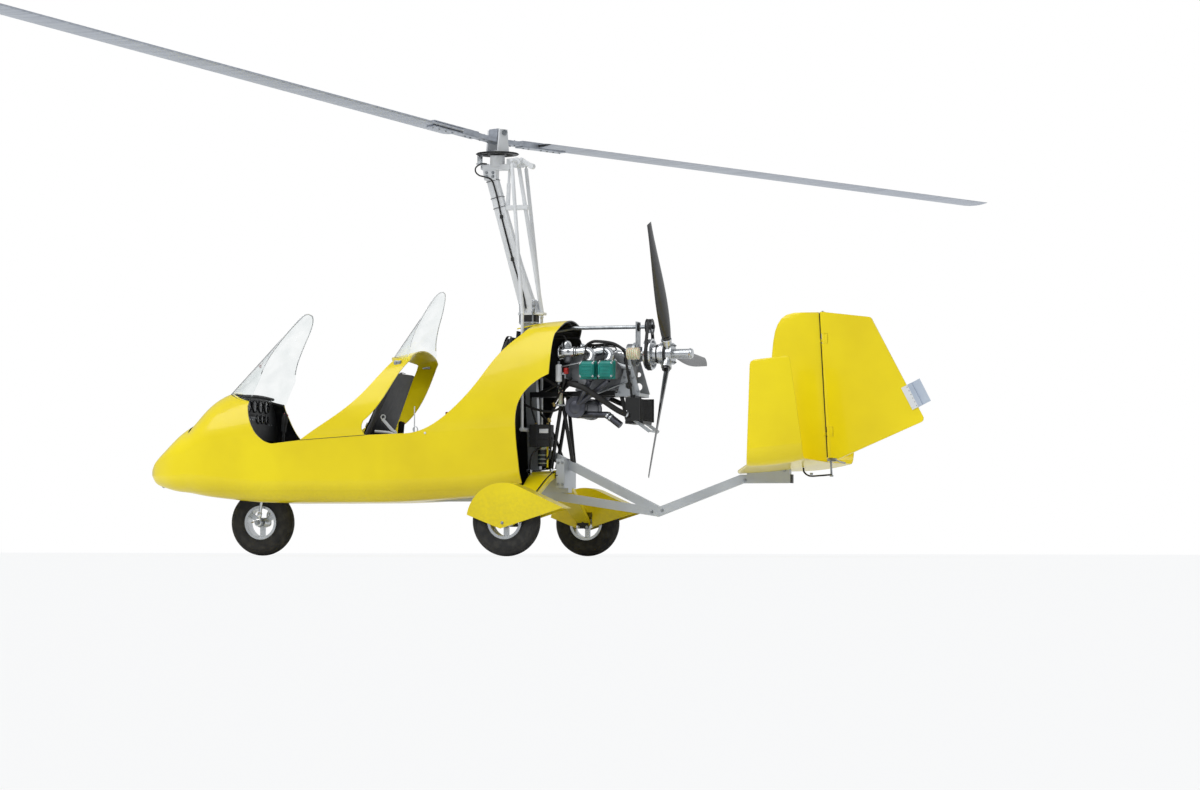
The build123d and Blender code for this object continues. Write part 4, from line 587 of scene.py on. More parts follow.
def bolt_item(tree, width, height):
    """Hexagon head on a round washer with the end of the thread above."""
    joined = add(tree, "GeometryNodeJoinGeometry")
    # Columns: radius by the width, length and height of the middle by the height, sides; head, washer, thread
    rows = ((0.5, 1.0, 0.5, 6), (0.68, 0.25, 0.125, 16), (0.27, 1.0, 1.0, 10))
    for wide, tall, middle, sides in rows:
        radius = add(tree, "ShaderNodeMath", {0: width}, {1: wide}, operation="MULTIPLY")
        depth = add(tree, "ShaderNodeMath", {0: height}, {1: tall}, operation="MULTIPLY")
        rise = add(tree, "ShaderNodeMath", {0: height}, {1: middle}, operation="MULTIPLY")
        sizes = {"Radius": radius, "Depth": depth}
        part = add(tree, "GeometryNodeMeshCylinder", sizes, {"Vertices": sides})
        lift = add(tree, "ShaderNodeCombineXYZ", {"Z": rise})
        moved = add(tree, "GeometryNodeTransform", {"Geometry": part, "Translation": lift})
        tree.links.new(moved.outputs["Geometry"], joined.inputs[0])
    return joined


def rivet_item(tree, width, height):
    """Low domed head, flattened sphere half sunk in the skin."""
    radius = add(tree, "ShaderNodeMath", {0: width}, {1: 0.5}, operation="MULTIPLY")
    ball = add(tree, "GeometryNodeMeshUVSphere", {"Radius": radius}, {"Segments": 12, "Rings": 6})
    return add(tree, "GeometryNodeTransform", {"Geometry": ball}, {"Scale": (1.0, 1.0, 0.4)})


def tooth_item(tree, width, height):
    """Gear tooth: a short bar narrowed at its tip."""
    foot = add(tree, "ShaderNodeMath", {0: width}, {1: 0.5}, operation="MULTIPLY")
    links = {"Radius Bottom": foot, "Depth": height}
    cone = add(tree, "GeometryNodeMeshCone", links, {"Vertices": 4, "Radius Top": 0.0012})
    return add(tree, "GeometryNodeTransform", {"Geometry": cone}, {"Rotation": (0.0, 0.0, math.pi / 4)})


def slat_item(tree, width, height):
    """Cooling fin: a thin strip along its aim, as deep as the width and a quarter as thick."""
    thin = add(tree, "ShaderNodeMath", {0: width}, {1: 0.25}, operation="MULTIPLY")
    size = add(tree, "ShaderNodeCombineXYZ", {"X": width, "Y": thin, "Z": height})
    return add(tree, "GeometryNodeMeshCube", {"Size": size})


def make_trees():
    """The trees by a short key."""
    return {
        "bolt": repeat_tree("Bolts", bolt_item),
        "rivet": repeat_tree("Rivets", rivet_item),
        "tooth": repeat_tree("Teeth", tooth_item),
        "slat": repeat_tree("Fins", slat_item),
    }


def repeated(name, material, body, tree_key, width, height, places):
    """One mesh of the tree's items set at places of (point, aim), sizes in millimetres."""
    tree = TREES[tree_key]
    mesh = bpy.data.meshes.new(name)
    mesh.from_pydata([m(*point) for point, aim in places], [], [])
    aims = mesh.attributes.new("aim", "FLOAT_VECTOR", "POINT")
    for item, (point, aim) in zip(aims.data, places):
        item.vector = Vector(aim).normalized()
    holder = put(name, mesh)
    modifier = holder.modifiers.new("Repeat", "NODES")
    modifier.node_group = tree
    values = {"Head width": width / 1000, "Head height": height / 1000, "Material": MATERIALS[material]}
    for socket in tree.interface.items_tree:
        if socket.in_out == "INPUT" and socket.name in values:
            modifier[socket.identifier] = values[socket.name]
    depsgraph = bpy.context.evaluated_depsgraph_get()
    made = bpy.data.meshes.new_from_object(holder.evaluated_get(depsgraph))
    bpy.data.objects.remove(holder)
    bpy.data.meshes.remove(mesh)
    made.name = name
    if "aim" in made.attributes:
        made.attributes.remove(made.attributes["aim"])
    place_mesh(name, made, material, body, 30.0)


def pieces(body, *rows):
    """Makes the pieces of one body from rows of name, finish and forms.

    A form is the name of a Build method and its values, and with the word both it is made on the left
    and again on the right. A piece of repeated items has one form: a tree's key, two sizes and places.
    """
    for name, finish, *forms in rows:
        if forms[0][0] in TREES:
            repeated(name, finish, body, *forms[0])
            continue
        build = Build()
        for kind, *values in forms:
            for side in SIDES if kind.startswith("both ") else (1,):
                getattr(build, kind.removeprefix("both "))(*(mirrored(value, side) for value in values))
        build.done(name, finish, body)


def circle(centre, axis, radius, count, start=0.0, outward=False):
    """Places round a circle, aimed along the axis or outward."""
    axis, u, v = square_to(axis)
    made = []
    for index in range(count):
        a = math.radians(start) + 2 * math.pi * index / count
        out = u * math.cos(a) + v * math.sin(a)
        made.append((tuple(Vector(centre) + out * radius), tuple(out if outward else axis)))
    return made


def grid(xs, ys, zs, aim):
    """Places at every combination of the stations, sides and heights."""
    return [((x, y, z), aim) for x in xs for y in ys for z in zs]


def both_sides(*places):
    """Places on the left and the same ones on the right."""
    return [mirrored(place, side) for side in SIDES for place in places]


def node_meshes(name):
    """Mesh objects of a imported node."""
    node = frame["nodes"][name]
    return [node] if node.type == "MESH" else [c for c in node.children_recursive if c.type == "MESH"]


def surface_trees(node):
    """Trees for casting rays at a node's meshes."""
    trees = []
    for obj in node_meshes(node):
        bm = bmesh.new()
        bm.from_mesh(obj.data)
        bm.transform(obj.matrix_world)
        trees.append(BVHTree.FromBMesh(bm))
        bm.free()
    return trees


# Settings
class GyroSizes(bpy.types.PropertyGroup):
    """Sizes and colours of the dressing."""

    floor_colour: FloatVectorProperty(
        name="Floor colour", description="Colour of the studio floor", default=(0.86, 0.87, 0.88),
        subtype="COLOR", min=0.0, max=1.0)
    sun_strength: FloatProperty(
        name="Main lamp", description="Strength of the broad lamp above the left side", default=2.0, min=0.0)
    fill_strength: FloatProperty(
        name="Fill lamp", description="Strength of the lamp from the far side", default=0.5, min=0.0)
    sky_strength: FloatProperty(
        name="Room light", description="Strength of the even light from all round", default=0.45, min=0.0)
    tread_grooves: IntProperty(
        name="Tread grooves", description="Grooves round each tyre", default=4, min=1, max=8)
    tread_depth: FloatProperty(
        name="Tread depth", description="Depth of the grooves", default=0.004, min=0.001, max=0.01,
        unit="LENGTH")
    cushion_crown: FloatProperty(
        name="Cushion crown", description="How far a cushion's middle stands above its edge", default=0.012,
        min=0.0, max=0.03, unit="LENGTH")
    ring_teeth: IntProperty(
        name="Ring gear teeth", description="Teeth on the rotor's ring gear", default=96, min=24, max=160)
    radiator_fins: IntProperty(
        name="Radiator fins", description="Fins over the height of the radiator's core", default=34,
        min=8, max=80)
    hose_scale: FloatProperty(
        name="Hose thickness", description="Share of the hoses' real thickness", default=1.0,
        min=0.5, max=1.3)
    # Painted highlight: radius of the white bead along the screens' edges
    highlight_bead_radius: FloatProperty(
        name="Screen highlight bead", description="Radius of the bead along the screens' edges", default=0.0028,
        min=0.001, max=0.008, unit="LENGTH")
    cable_radius: FloatProperty(
        name="Cable radius", description="Radius of the cables tied to the mast", default=0.0045, min=0.002,
        max=0.01, unit="LENGTH")


class GyroStep(bpy.types.Operator):
    """Common ground of the operators below."""

    bl_options = {"REGISTER", "UNDO"}

    def execute(self, context):
        self.make(context.scene, context.scene.gyro)
        return {"FINISHED"}


# Stage
# Camera of the photograph: turns, place in metres, focal length in the picture's pixels
CAMERA_AZIMUTH = math.radians(16.91)
CAMERA_PITCH = math.radians(-2.66)
CAMERA_ROLL = math.radians(0.10)
CAMERA_PLACE = (-6.261, 19.162, 0.02)
FOCAL_PIXELS = 3400.2
PICTURE_WIDTH = 1200
SENSOR_WIDTH = 36.0
# Half the floor's width in metres, share of its tone that drifts, and of it that is lit by itself
FLOOR_SIZE = 80.0
FLOOR_DRIFT = 0.985
FLOOR_GLOW = 0.65
WHITE = (1, 1, 1, 1)


def seen_directly(tree):
    """One for rays of the camera, also through the screens, and none for the light that falls on things."""
    path = add(tree, "ShaderNodeLightPath").outputs
    rays = {0: path["Is Camera Ray"], 1: path["Is Transmission Ray"]}
    return add(tree, "ShaderNodeMath", rays, operation="MAXIMUM")


class GYRO_OT_stage(GyroStep):
    """Camera at the photograph's angle, pale floor, plain world and soft lamps"""

    bl_idname = "gyro.stage"
    bl_label = "Camera, floor and light"

    def make(self, scene, sizes):
        scene.view_settings.view_transform = "Standard"
        data = bpy.data.cameras.new("camera")
        data.sensor_fit = "HORIZONTAL"
        data.sensor_width = SENSOR_WIDTH
        data.lens = FOCAL_PIXELS * SENSOR_WIDTH / PICTURE_WIDTH
        data.clip_start = 0.05
        data.clip_end = 300.0
        scene.camera = put("camera", data)
        level = math.cos(CAMERA_PITCH)
        ahead, left = -math.sin(CAMERA_AZIMUTH) * level, math.cos(CAMERA_AZIMUTH) * level
        back = Vector((ahead, left, math.sin(CAMERA_PITCH)))
        right = Vector(UP).cross(back).normalized()
        up = back.cross(right)
        turned_right = right * math.cos(CAMERA_ROLL) + up * math.sin(CAMERA_ROLL)
        turned_up = up * math.cos(CAMERA_ROLL) - right * math.sin(CAMERA_ROLL)
        turn = Matrix((turned_right, turned_up, back)).transposed().to_4x4()
        scene.camera.matrix_world = Matrix.Translation(Vector(CAMERA_PLACE)) @ turn
        self.world(scene, sizes)
        self.floor(sizes)
        self.lamps(sizes)

    def world(self, scene, sizes):
        world = bpy.data.worlds.new("plain_studio")
        scene.world = world
        world.use_nodes = True
        tree = world.node_tree
        tree.nodes.clear()
        room = {"Color": linear("F2F5F8"), "Strength": sizes.sky_strength}
        light = add(tree, "ShaderNodeBackground", sockets=room)
        white = add(tree, "ShaderNodeBackground", sockets={"Color": WHITE, "Strength": 1.0})
        mixed = add(tree, "ShaderNodeMixShader", {0: seen_directly(tree), 1: light, 2: white})
        add(tree, "ShaderNodeOutputWorld", {"Surface": mixed})

    def floor(self, sizes):
        material, tree, place, shader = start_material("studio_floor")
        tone = list(sizes.floor_colour)
        clouds = add(tree, "ShaderNodeTexNoise", {"Vector": place}, {"Scale": 0.8, "Detail": 2.0})
        drift = add(tree, "ShaderNodeMix", {"Factor": clouds}, data_type="RGBA")
        drift.inputs["A"].default_value = (*tone, 1)
        drift.inputs["B"].default_value = (*(channel * FLOOR_DRIFT for channel in tone), 1)
        tree.links.new(drift.outputs["Result"], shader.inputs["Base Color"])
        shader.inputs["Roughness"].default_value = 0.9
        glow = add(tree, "ShaderNodeEmission", sockets={"Color": WHITE, "Strength": 1.0})
        seen = seen_directly(tree)
        share = add(tree, "ShaderNodeMath", {0: seen}, {1: FLOOR_GLOW}, operation="MULTIPLY")
        mixed = add(tree, "ShaderNodeMixShader", {0: share, 1: shader, 2: glow})
        tree.links.new(mixed.outputs["Shader"], tree.nodes["Material Output"].inputs["Surface"])
        bm = bmesh.new()
        bmesh.ops.create_grid(bm, x_segments=12, y_segments=12, size=FLOOR_SIZE)
        mesh = bpy.data.meshes.new("floor")
        bm.to_mesh(mesh)
        bm.free()
        mesh.materials.append(material)
        floor = put("floor", mesh)

    def lamps(self, sizes):
        # Columns: name, direction that the lamp stands in, strength, width of its disc in degrees
        rows = (
            ("lamp_main", (0.45, 0.75, 1.0), sizes.sun_strength, 60),
            ("lamp_fill", (-0.6, -1.0, 0.9), sizes.fill_strength, 90),
        )
        for name, place, strength, width in rows:
            data = bpy.data.lights.new(name, "SUN")
            data.energy = strength
            data.angle = math.radians(width)
            aim = (-Vector(place)).to_track_quat("-Z", "Y")
            put(name, data).matrix_world = Matrix.Translation(Vector(place) * 8) @ aim.to_matrix().to_4x4()


class GYRO_OT_finishes(GyroStep):
    """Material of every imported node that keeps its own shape"""

    bl_idname = "gyro.finishes"
    bl_label = "Finishes of the frame's nodes"

    def make(self, scene, sizes):
        for key, nodes in NODE_FINISHES:
            for obj in (obj for name in nodes for obj in node_meshes(name)):
                for slot in obj.material_slots:
                    slot.material = MATERIALS[key]


# Cushions
# Columns: name, corners (x, z) of the side in order back low, front low, front top, back top, half widths
# at the back and the front
CUSHIONS = (
    ("cushion_front_seat", ((1215, 445), (1490, 478.6), (1478, 533), (1203, 488)), 198, 198),
    ("cushion_front_back", ((1165.5, 500), (921.5, 1086), (957, 1100), (1201, 515)), 196, 142),
    ("cushion_rear_seat", ((470, 448.6), (900, 466.6), (888, 524), (456, 494)), 198, 198),
    ("cushion_rear_back", ((434, 500), (194.8, 1286), (233, 1297), (472, 512)), 196, 142),
)
# Steps of a pad's mesh along and across, and depth of the channels sewn over it in millimetres
PAD_STEPS = 28
PAD_CROSS_STEPS = 26
CHANNEL_DEPTH = 7.0
# Cloth run: pressure, furthest move in metres, number of frames
SWELL_PRESSURE = 4.0
SWELL_CAP = 0.007
SWELL_FRAMES = 20


def pad_point(corners, low_half, high_half, u, v, w):
    """Point of a pad: u along its length, v across from -1 to 1, w through its thickness."""
    a, b, c, d = (Vector(p) for p in corners)
    side = a.lerp(b, u).lerp(d.lerp(c, u), w)
    return Vector((side.x, v * (low_half + (high_half - low_half) * u), side.y))


class GYRO_OT_cushions(GyroStep):
    """Crowned, channelled seat and back cushions, swollen by a short cloth run"""

    bl_idname = "gyro.cushions"
    bl_label = "Cushions"

    def make(self, scene, sizes):
        made = [self.cushion(row, sizes.cushion_crown * 1000) for row in CUSHIONS]
        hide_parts("seat_cushions")

    def cushion(self, row, crown):
        name, *form = row

        def shape(u, v, top):
            full = (1 - (1 - min(min(u, 1 - u) * 6.0, 1)) ** 2) * (1 - abs(v) ** 6)
            v *= 1 - 0.02 * math.sin(math.pi * u) * min(abs(v) / 0.6, 1)
            w = 0.52 + 0.30 * full if top else 0.20 * (1 - full)
            p = pad_point(*form, u, v, w)
            out = (pad_point(*form, u, v, w + 0.1) - p).normalized()
            channel = math.exp(-((math.sin(math.pi * u * 4.0) * 9.0) ** 2)) if 0.08 < u < 0.92 else 0
            lift = (crown * 0.6 * full - CHANNEL_DEPTH * channel * full) if top else 0.0
            return m(*(p + out * lift))

        rows = []
        for i in range(PAD_STEPS + 1):
            across = [-1 + 2 * j / PAD_CROSS_STEPS for j in range(PAD_CROSS_STEPS + 1)]
            ring = [shape(i / PAD_STEPS, v, True) for v in across]
            rows.append(ring + [shape(i / PAD_STEPS, -v, False) for v in across])
        build = Build()
        build.rings(rows)
        pad = build.done(name, "cloth", "airframe", 80)
        self.soften(pad)
        return pad

    def soften(self, pad):
        """Even skin of the pad, smoothed and swollen."""
        remesh = pad.modifiers.new("Skin", "REMESH")
        remesh.mode = "VOXEL"
        remesh.voxel_size = 0.006
        bake(pad)
        smooth = pad.modifiers.new("Soften", "SMOOTH")
        smooth.factor = 0.5
        smooth.iterations = 6
        bake(pad)
        swell(pad)
        pad.data.shade_smooth()


def bake(obj):
    """Turns an object's modifiers into its plain mesh."""
    depsgraph = bpy.context.evaluated_depsgraph_get()
    made = bpy.data.meshes.new_from_object(obj.evaluated_get(depsgraph))
    old = obj.data
    obj.modifiers.clear()
    obj.data = made
    bpy.data.meshes.remove(old)
    made.name = obj.name


def swell(obj):
    """Short cloth run under pressure; each point moves no further than the cap, its underside not at all."""
    before = [(v.co.copy(), v.normal.copy()) for v in obj.data.vertices]
    cloth = obj.modifiers.new("Swell", "CLOTH")
    cloth.settings.use_pressure = True
    cloth.settings.uniform_pressure_force = SWELL_PRESSURE
    cloth.settings.effector_weights.gravity = 0.0
    cloth.settings.tension_stiffness = 12.0
    cloth.point_cache.frame_start = 1
    cloth.point_cache.frame_end = SWELL_FRAMES
    scene = bpy.context.scene
    for number in range(1, SWELL_FRAMES + 1):
        scene.frame_set(number)
    bake(obj)
    scene.frame_set(1)
    for vertex, (start, normal) in zip(obj.data.vertices, before):
        move = vertex.co - start
        if move.length > SWELL_CAP:
            move *= SWELL_CAP / move.length
        vertex.co = start + move * (1.0 if normal.x > 0.0 or normal.z > 0.0 else 0.0)


# Tyres
# Side of the tyre from the bead to the shoulder: (across, radius)
TYRE_SIDE = ((-38, 94.6), (-38, 104), (-41.5, 105.5), (-45.5, 113), (-48.6, 126), (-50, 143), (-49.3, 160),
             (-47, 172), (-43.5, 181), (-40, 186))
TREAD_HALF = 38
TREAD_STEPS = 64
CROWN_RISE = 14
GROOVE_HALF = 2.2


class GYRO_OT_tyres(GyroStep):
    """Ribbed tyres with bead lines and valves, turned about each wheel's axle"""

    bl_idname = "gyro.tyres"
    bl_label = "Tyres"

    def make(self, scene, sizes):
        for side, x, y, body in WHEELS:
            tyre = self.tyre(f"ribbed_tyre_{side}", (x, y, AXLE_Z), body, sizes)
            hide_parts(f"tyre_{side}")
            valve = ((x + 86, y - 30, AXLE_Z), (x + 84, y - 48, AXLE_Z + 4), (x + 80, y - 58, AXLE_Z + 6))
            pieces(body, (f"valve_{side}", "brass", ("tube", valve, 3.2)))

    def tyre(self, name, centre, body, sizes):
        shoulder = TYRE_SIDE[-1][1]
        profile = list(TYRE_SIDE)
        width = 2 * TREAD_HALF / (sizes.tread_grooves + 1)
        for i in range(TREAD_STEPS + 1):
            across = TREAD_HALF * (2 * i / TREAD_STEPS - 1)
            radius = shoulder + CROWN_RISE * (1 - (across / 40) ** 2) ** 0.75
            phase = (across + TREAD_HALF) / width
            if abs(phase - round(phase)) * width < GROOVE_HALF and 0.5 < phase < sizes.tread_grooves + 0.5:
                radius -= sizes.tread_depth * 1000
            profile.append((across, min(radius, 199.9)))
        profile += [(-across, radius) for across, radius in TYRE_SIDE[::-1]]
        build = Build()
        build.ring(profile, centre, LEFT, 96)
        for side in (-1, 1):
            for radius, skin in ((115, 46.1), (168, 47.9)):
                foot = side * (skin - 2)
                lip = ((foot, radius - 1.6), (side * (skin + 1.2), radius), (foot, radius + 1.6))
                build.ring(lip, centre, LEFT, 72)
        return build.done(name, "tyre", body, 28)


# Rotor
def on_blade(along, across, up, side):
    """Point in the coned, teetered hub's frame: along the blade, across it and above its plane."""
    lift, reach = math.sin(CONING), math.cos(CONING)
    place = Vector((side * (along * reach - up * lift), side * across, along * lift + up * reach - HUB_DROP))
    tilt = Matrix.Rotation(-TEETER_REST, 3, "Y")
    heading = Matrix.Rotation(ROTOR_HEADING, 3, "Z")
    return tuple(heading @ (tilt @ place) + Vector(ROTOR_CENTRE))


def blade_bolt(along, across, up, side, flip):
    """Place of a bolt on the upper or lower face of a blade, aimed square to it."""
    normal = Vector(on_blade(0, 0, 10, side)) - Vector(on_blade(0, 0, 0, side))
    return on_blade(along, across, flip * up, side), tuple(normal * flip)


def blade_ring(along, side, half, thick, fullness, edge=0.0):
    """Ring of the blade's section: half its chord and depth, fullness at mid chord, blunt edge."""
    ring = []
    for k in range(24):
        a = 2 * math.pi * k / 24
        reach = math.cos(a)
        depth = edge if edge and reach < -0.9 else thick * (fullness + (1 - fullness) * reach)
        ring.append(m(*on_blade(along, BLADE_MIDDLE + half * reach, depth * math.sin(a), side)))
    return ring


class GYRO_OT_rotor(GyroStep):
    """Ring gear teeth, hub bolts, nuts, blade root blocks and tip caps"""

    bl_idname = "gyro.rotor"
    bl_label = "Rotor fittings"

    def make(self, scene, sizes):
        spots = [(along, 0, 19.5) for along in (210, 250, 350, 400, 450, 500)]
        spots += [(along, across, 12.5) for along in (60, 120) for across in (-20, 20)]
        straps = [blade_bolt(*spot, side, flip) for side in SIDES for flip in SIDES for spot in spots]
        x = ROTOR_CENTRE[0]
        heading = math.degrees(ROTOR_HEADING)
        teeth = circle((x, 0, 2397), UP, 122.5, sizes.ring_teeth, 0, True)
        pieces(
            "rotor",
            ("ring_gear_teeth", "black", ("tooth", 8.5, 6.0, teeth)),
            ("teeter_nuts", "steel", ("bolt", 27, 12, circle(ROTOR_CENTRE, UP, 65, 2, heading + 90, True))),
            ("tower_bolts", "steel", ("bolt", 13, 7, circle((x, 0, 2414), UP, 44, 4, heading + 45))),
        )
        pieces("rotor_teeter", ("hub_strap_bolts", "steel", ("bolt", 11, 4, straps)))
        tip = ((4262, 1.0), (4266, 0.97), (4268, 0.86))
        for side, label in ((1, "left"), (-1, "right")):
            cap = [blade_ring(along, side, 101.5 * share, 11.4 * share, 0.62, 1.0) for along, share in tip]
            root = [blade_ring(along, side, 98, 10.2, 0.65) for along in (296, 300.2)]
            pieces(
                "rotor_teeter",
                (f"blade_tip_cap_{label}", "plastic", ("rings", cap)),
                (f"blade_root_cap_{label}", "plastic", ("rings", root)),
            )


# Mast
MAST_CABLE = (
    (384, 30, 2338), (420, 33, 2338), (450, 36, 2318), (452, 36, 2292), (430, 35, 2270), (396, 35, 2260),
    (354, 34, 2242), (332, 33, 2190), (313, 31, 2119), (292, 30, 2024), (260, 30, 1902), (222, 30, 1767),
    (182, 30, 1641), (152, 30, 1552), (134, 34, 1470),
)


class GYRO_OT_mast(GyroStep):
    """Cables and ties up the mast, foot brackets, bolts and the drive's pinion at the head"""

    bl_idname = "gyro.mast"
    bl_label = "Mast fittings"

    def make(self, scene, sizes):
        ties = []
        for z in (2236, 2135, 2075):
            front = 169 + (z - 1440) * 0.2745
            rear = 321 - (2245 - z) * 0.2956
            loop = ((front, 26, z - 9), (front - 30, 27.4, z - 1), (rear, 26, z + 9))
            ties.append(("both tube", loop, 1.7, 8, 3))
            for x, end in ((front, z - 9), (rear, z + 9)):
                ties.append(("tube", ((x, -26, end), (x, 26, end)), 1.7, 8, 1))
        for x, z in ((290, 2018), (221, 1764)):
            ties.append(("block", (x - 9, 26.5, z - 11), (x + 9, 38, z + 11), 3))
        bolts = grid((83, 163), (40,), (1458, 1484), LEFT) + grid((345, 385), (31,), (2262, 2285), LEFT)
        rods = [("block", (76, -50, 1380.5), (174, 50, 1387.6), 2)]
        for x in (88, 162):
            rods.append(("both tube", ((x, 46, 1372), (x, 46, 1398), (x, 46, 1452)), 5, 10))
            rods.append(("both knob", (x, 46, 1444), UP, 9, 9, 1.5, 6))
            rods.append(("both knob", (x, 46, 1374), UP, 9, 8, 1.5, 6))
        pieces(
            "airframe",
            ("mast_cables", "rubber", ("tube", MAST_CABLE, sizes.cable_radius * 1000, 8)),
            ("mast_cable_ties", "plastic", *ties),
            ("mast_foot_brackets", "bright",
             ("both block", (70, 27, 1441), (96, 40, 1520), 3),
             ("both block", (150, 27, 1441), (176, 40, 1500), 3)),
            ("mast_bolts", "steel", ("bolt", 14, 7, both_sides(*bolts))),
            ("mast_foot_rods", "steel", *rods),
            ("pinion_housing", "turned",
             ("knob", (405, 0, 2306), UP, 26, 34, 3),
             ("knob", (437, 0, 2396), DOWN, 16, 54, 2, 20),
             ("block", (398, -26, 2334), (452, 26, 2346), 3)),
        )


# Engine
# Columns: station of each cylinder's head and its side
HEADS = ((-319, 1), (-432, 1), (-295, -1), (-408, -1))
# Left one of the two cables to the carburettors
THROTTLE_CABLE = ((-154, 150, 1264), (-132, 148, 1296), (-50, 122, 1300), (50, 76, 1284), (104, 40, 1250),
                  (116, 22, 1224))
# Columns: radius, whether both ends are clamped, points of (station, side, height)
HOSES = (
    (17, True, ((-205, 72, 1016), (-190, 112, 1014), (-180, 168, 1012), (-218, 218, 1004),
                (-290, 236, 982), (-350, 230, 942), (-410, 210, 900), (-480, 180, 850), (-536, 146, 822))),
    (15, True, ((-246, -222, 1050), (-230, -222, 1040), (-224, -224, 1002), (-262, -230, 962),
                (-330, -226, 930), (-400, -208, 902), (-480, -176, 890), (-540, -146, 900))),
    (9, True, ((-232, 80, 1184), (-250, 92, 1226), (-290, 106, 1254), (-336, 116, 1260), (-430, 118, 1246),
               (-496, 124, 1210), (-530, 146, 1194))),
    (7, False, ((-212, 42, 1186), (-228, 56, 1228), (-300, 72, 1240), (-400, 92, 1242), (-468, 110, 1224),
                (-503, 118, 1184), (-514, 122, 1120), (-530, 134, 1040), (-546, 141, 980),
                (-552, 141, 924))),
    (6, False, ((-124, 200, 1012), (-124, 198, 984), (-136, 176, 962), (-152, 120, 952), (-160, 78, 952))),
    (6, False, ((-162, 200, 1068), (-152, 190, 1012), (-112, 152, 950), (-76, 116, 906))),
    (6, False, ((-68, 112, 886), (-56, 112, 850), (-43, 112, 812))),
    (5, False, ((-40, 112, 794), (-46, 124, 752), (-48, 126, 700), (-48, 112, 640), (-30, 90, 598),
                (-6, 78, 560))),
    (8, True, ((114, 20, 1184), (76, 70, 1132), (6, 106, 1058), (-60, 120, 1016), (-110, 120, 990))),
    (7, False, ((-110, 120, 892), (-100, 126, 866), (-40, 132, 850), (50, 128, 868), (150, 116, 910),
                (228, 100, 938))),
    (8, False, ((236, -60, 930), (150, -92, 900), (60, -104, 820), (-10, -94, 700), (-60, -60, 600),
                (-90, -26, 560))),
    (10, False, ((232, -120, 940), (140, -150, 960), (20, -170, 1020), (-70, -160, 1084),
                 (-136, -120, 1120), (-176, -94, 1130))),
    *((4, False, mirrored(THROTTLE_CABLE, side)) for side in SIDES),
)
# Width of a hose's clamp and its distance from the end
CLAMP_WIDTH = 9


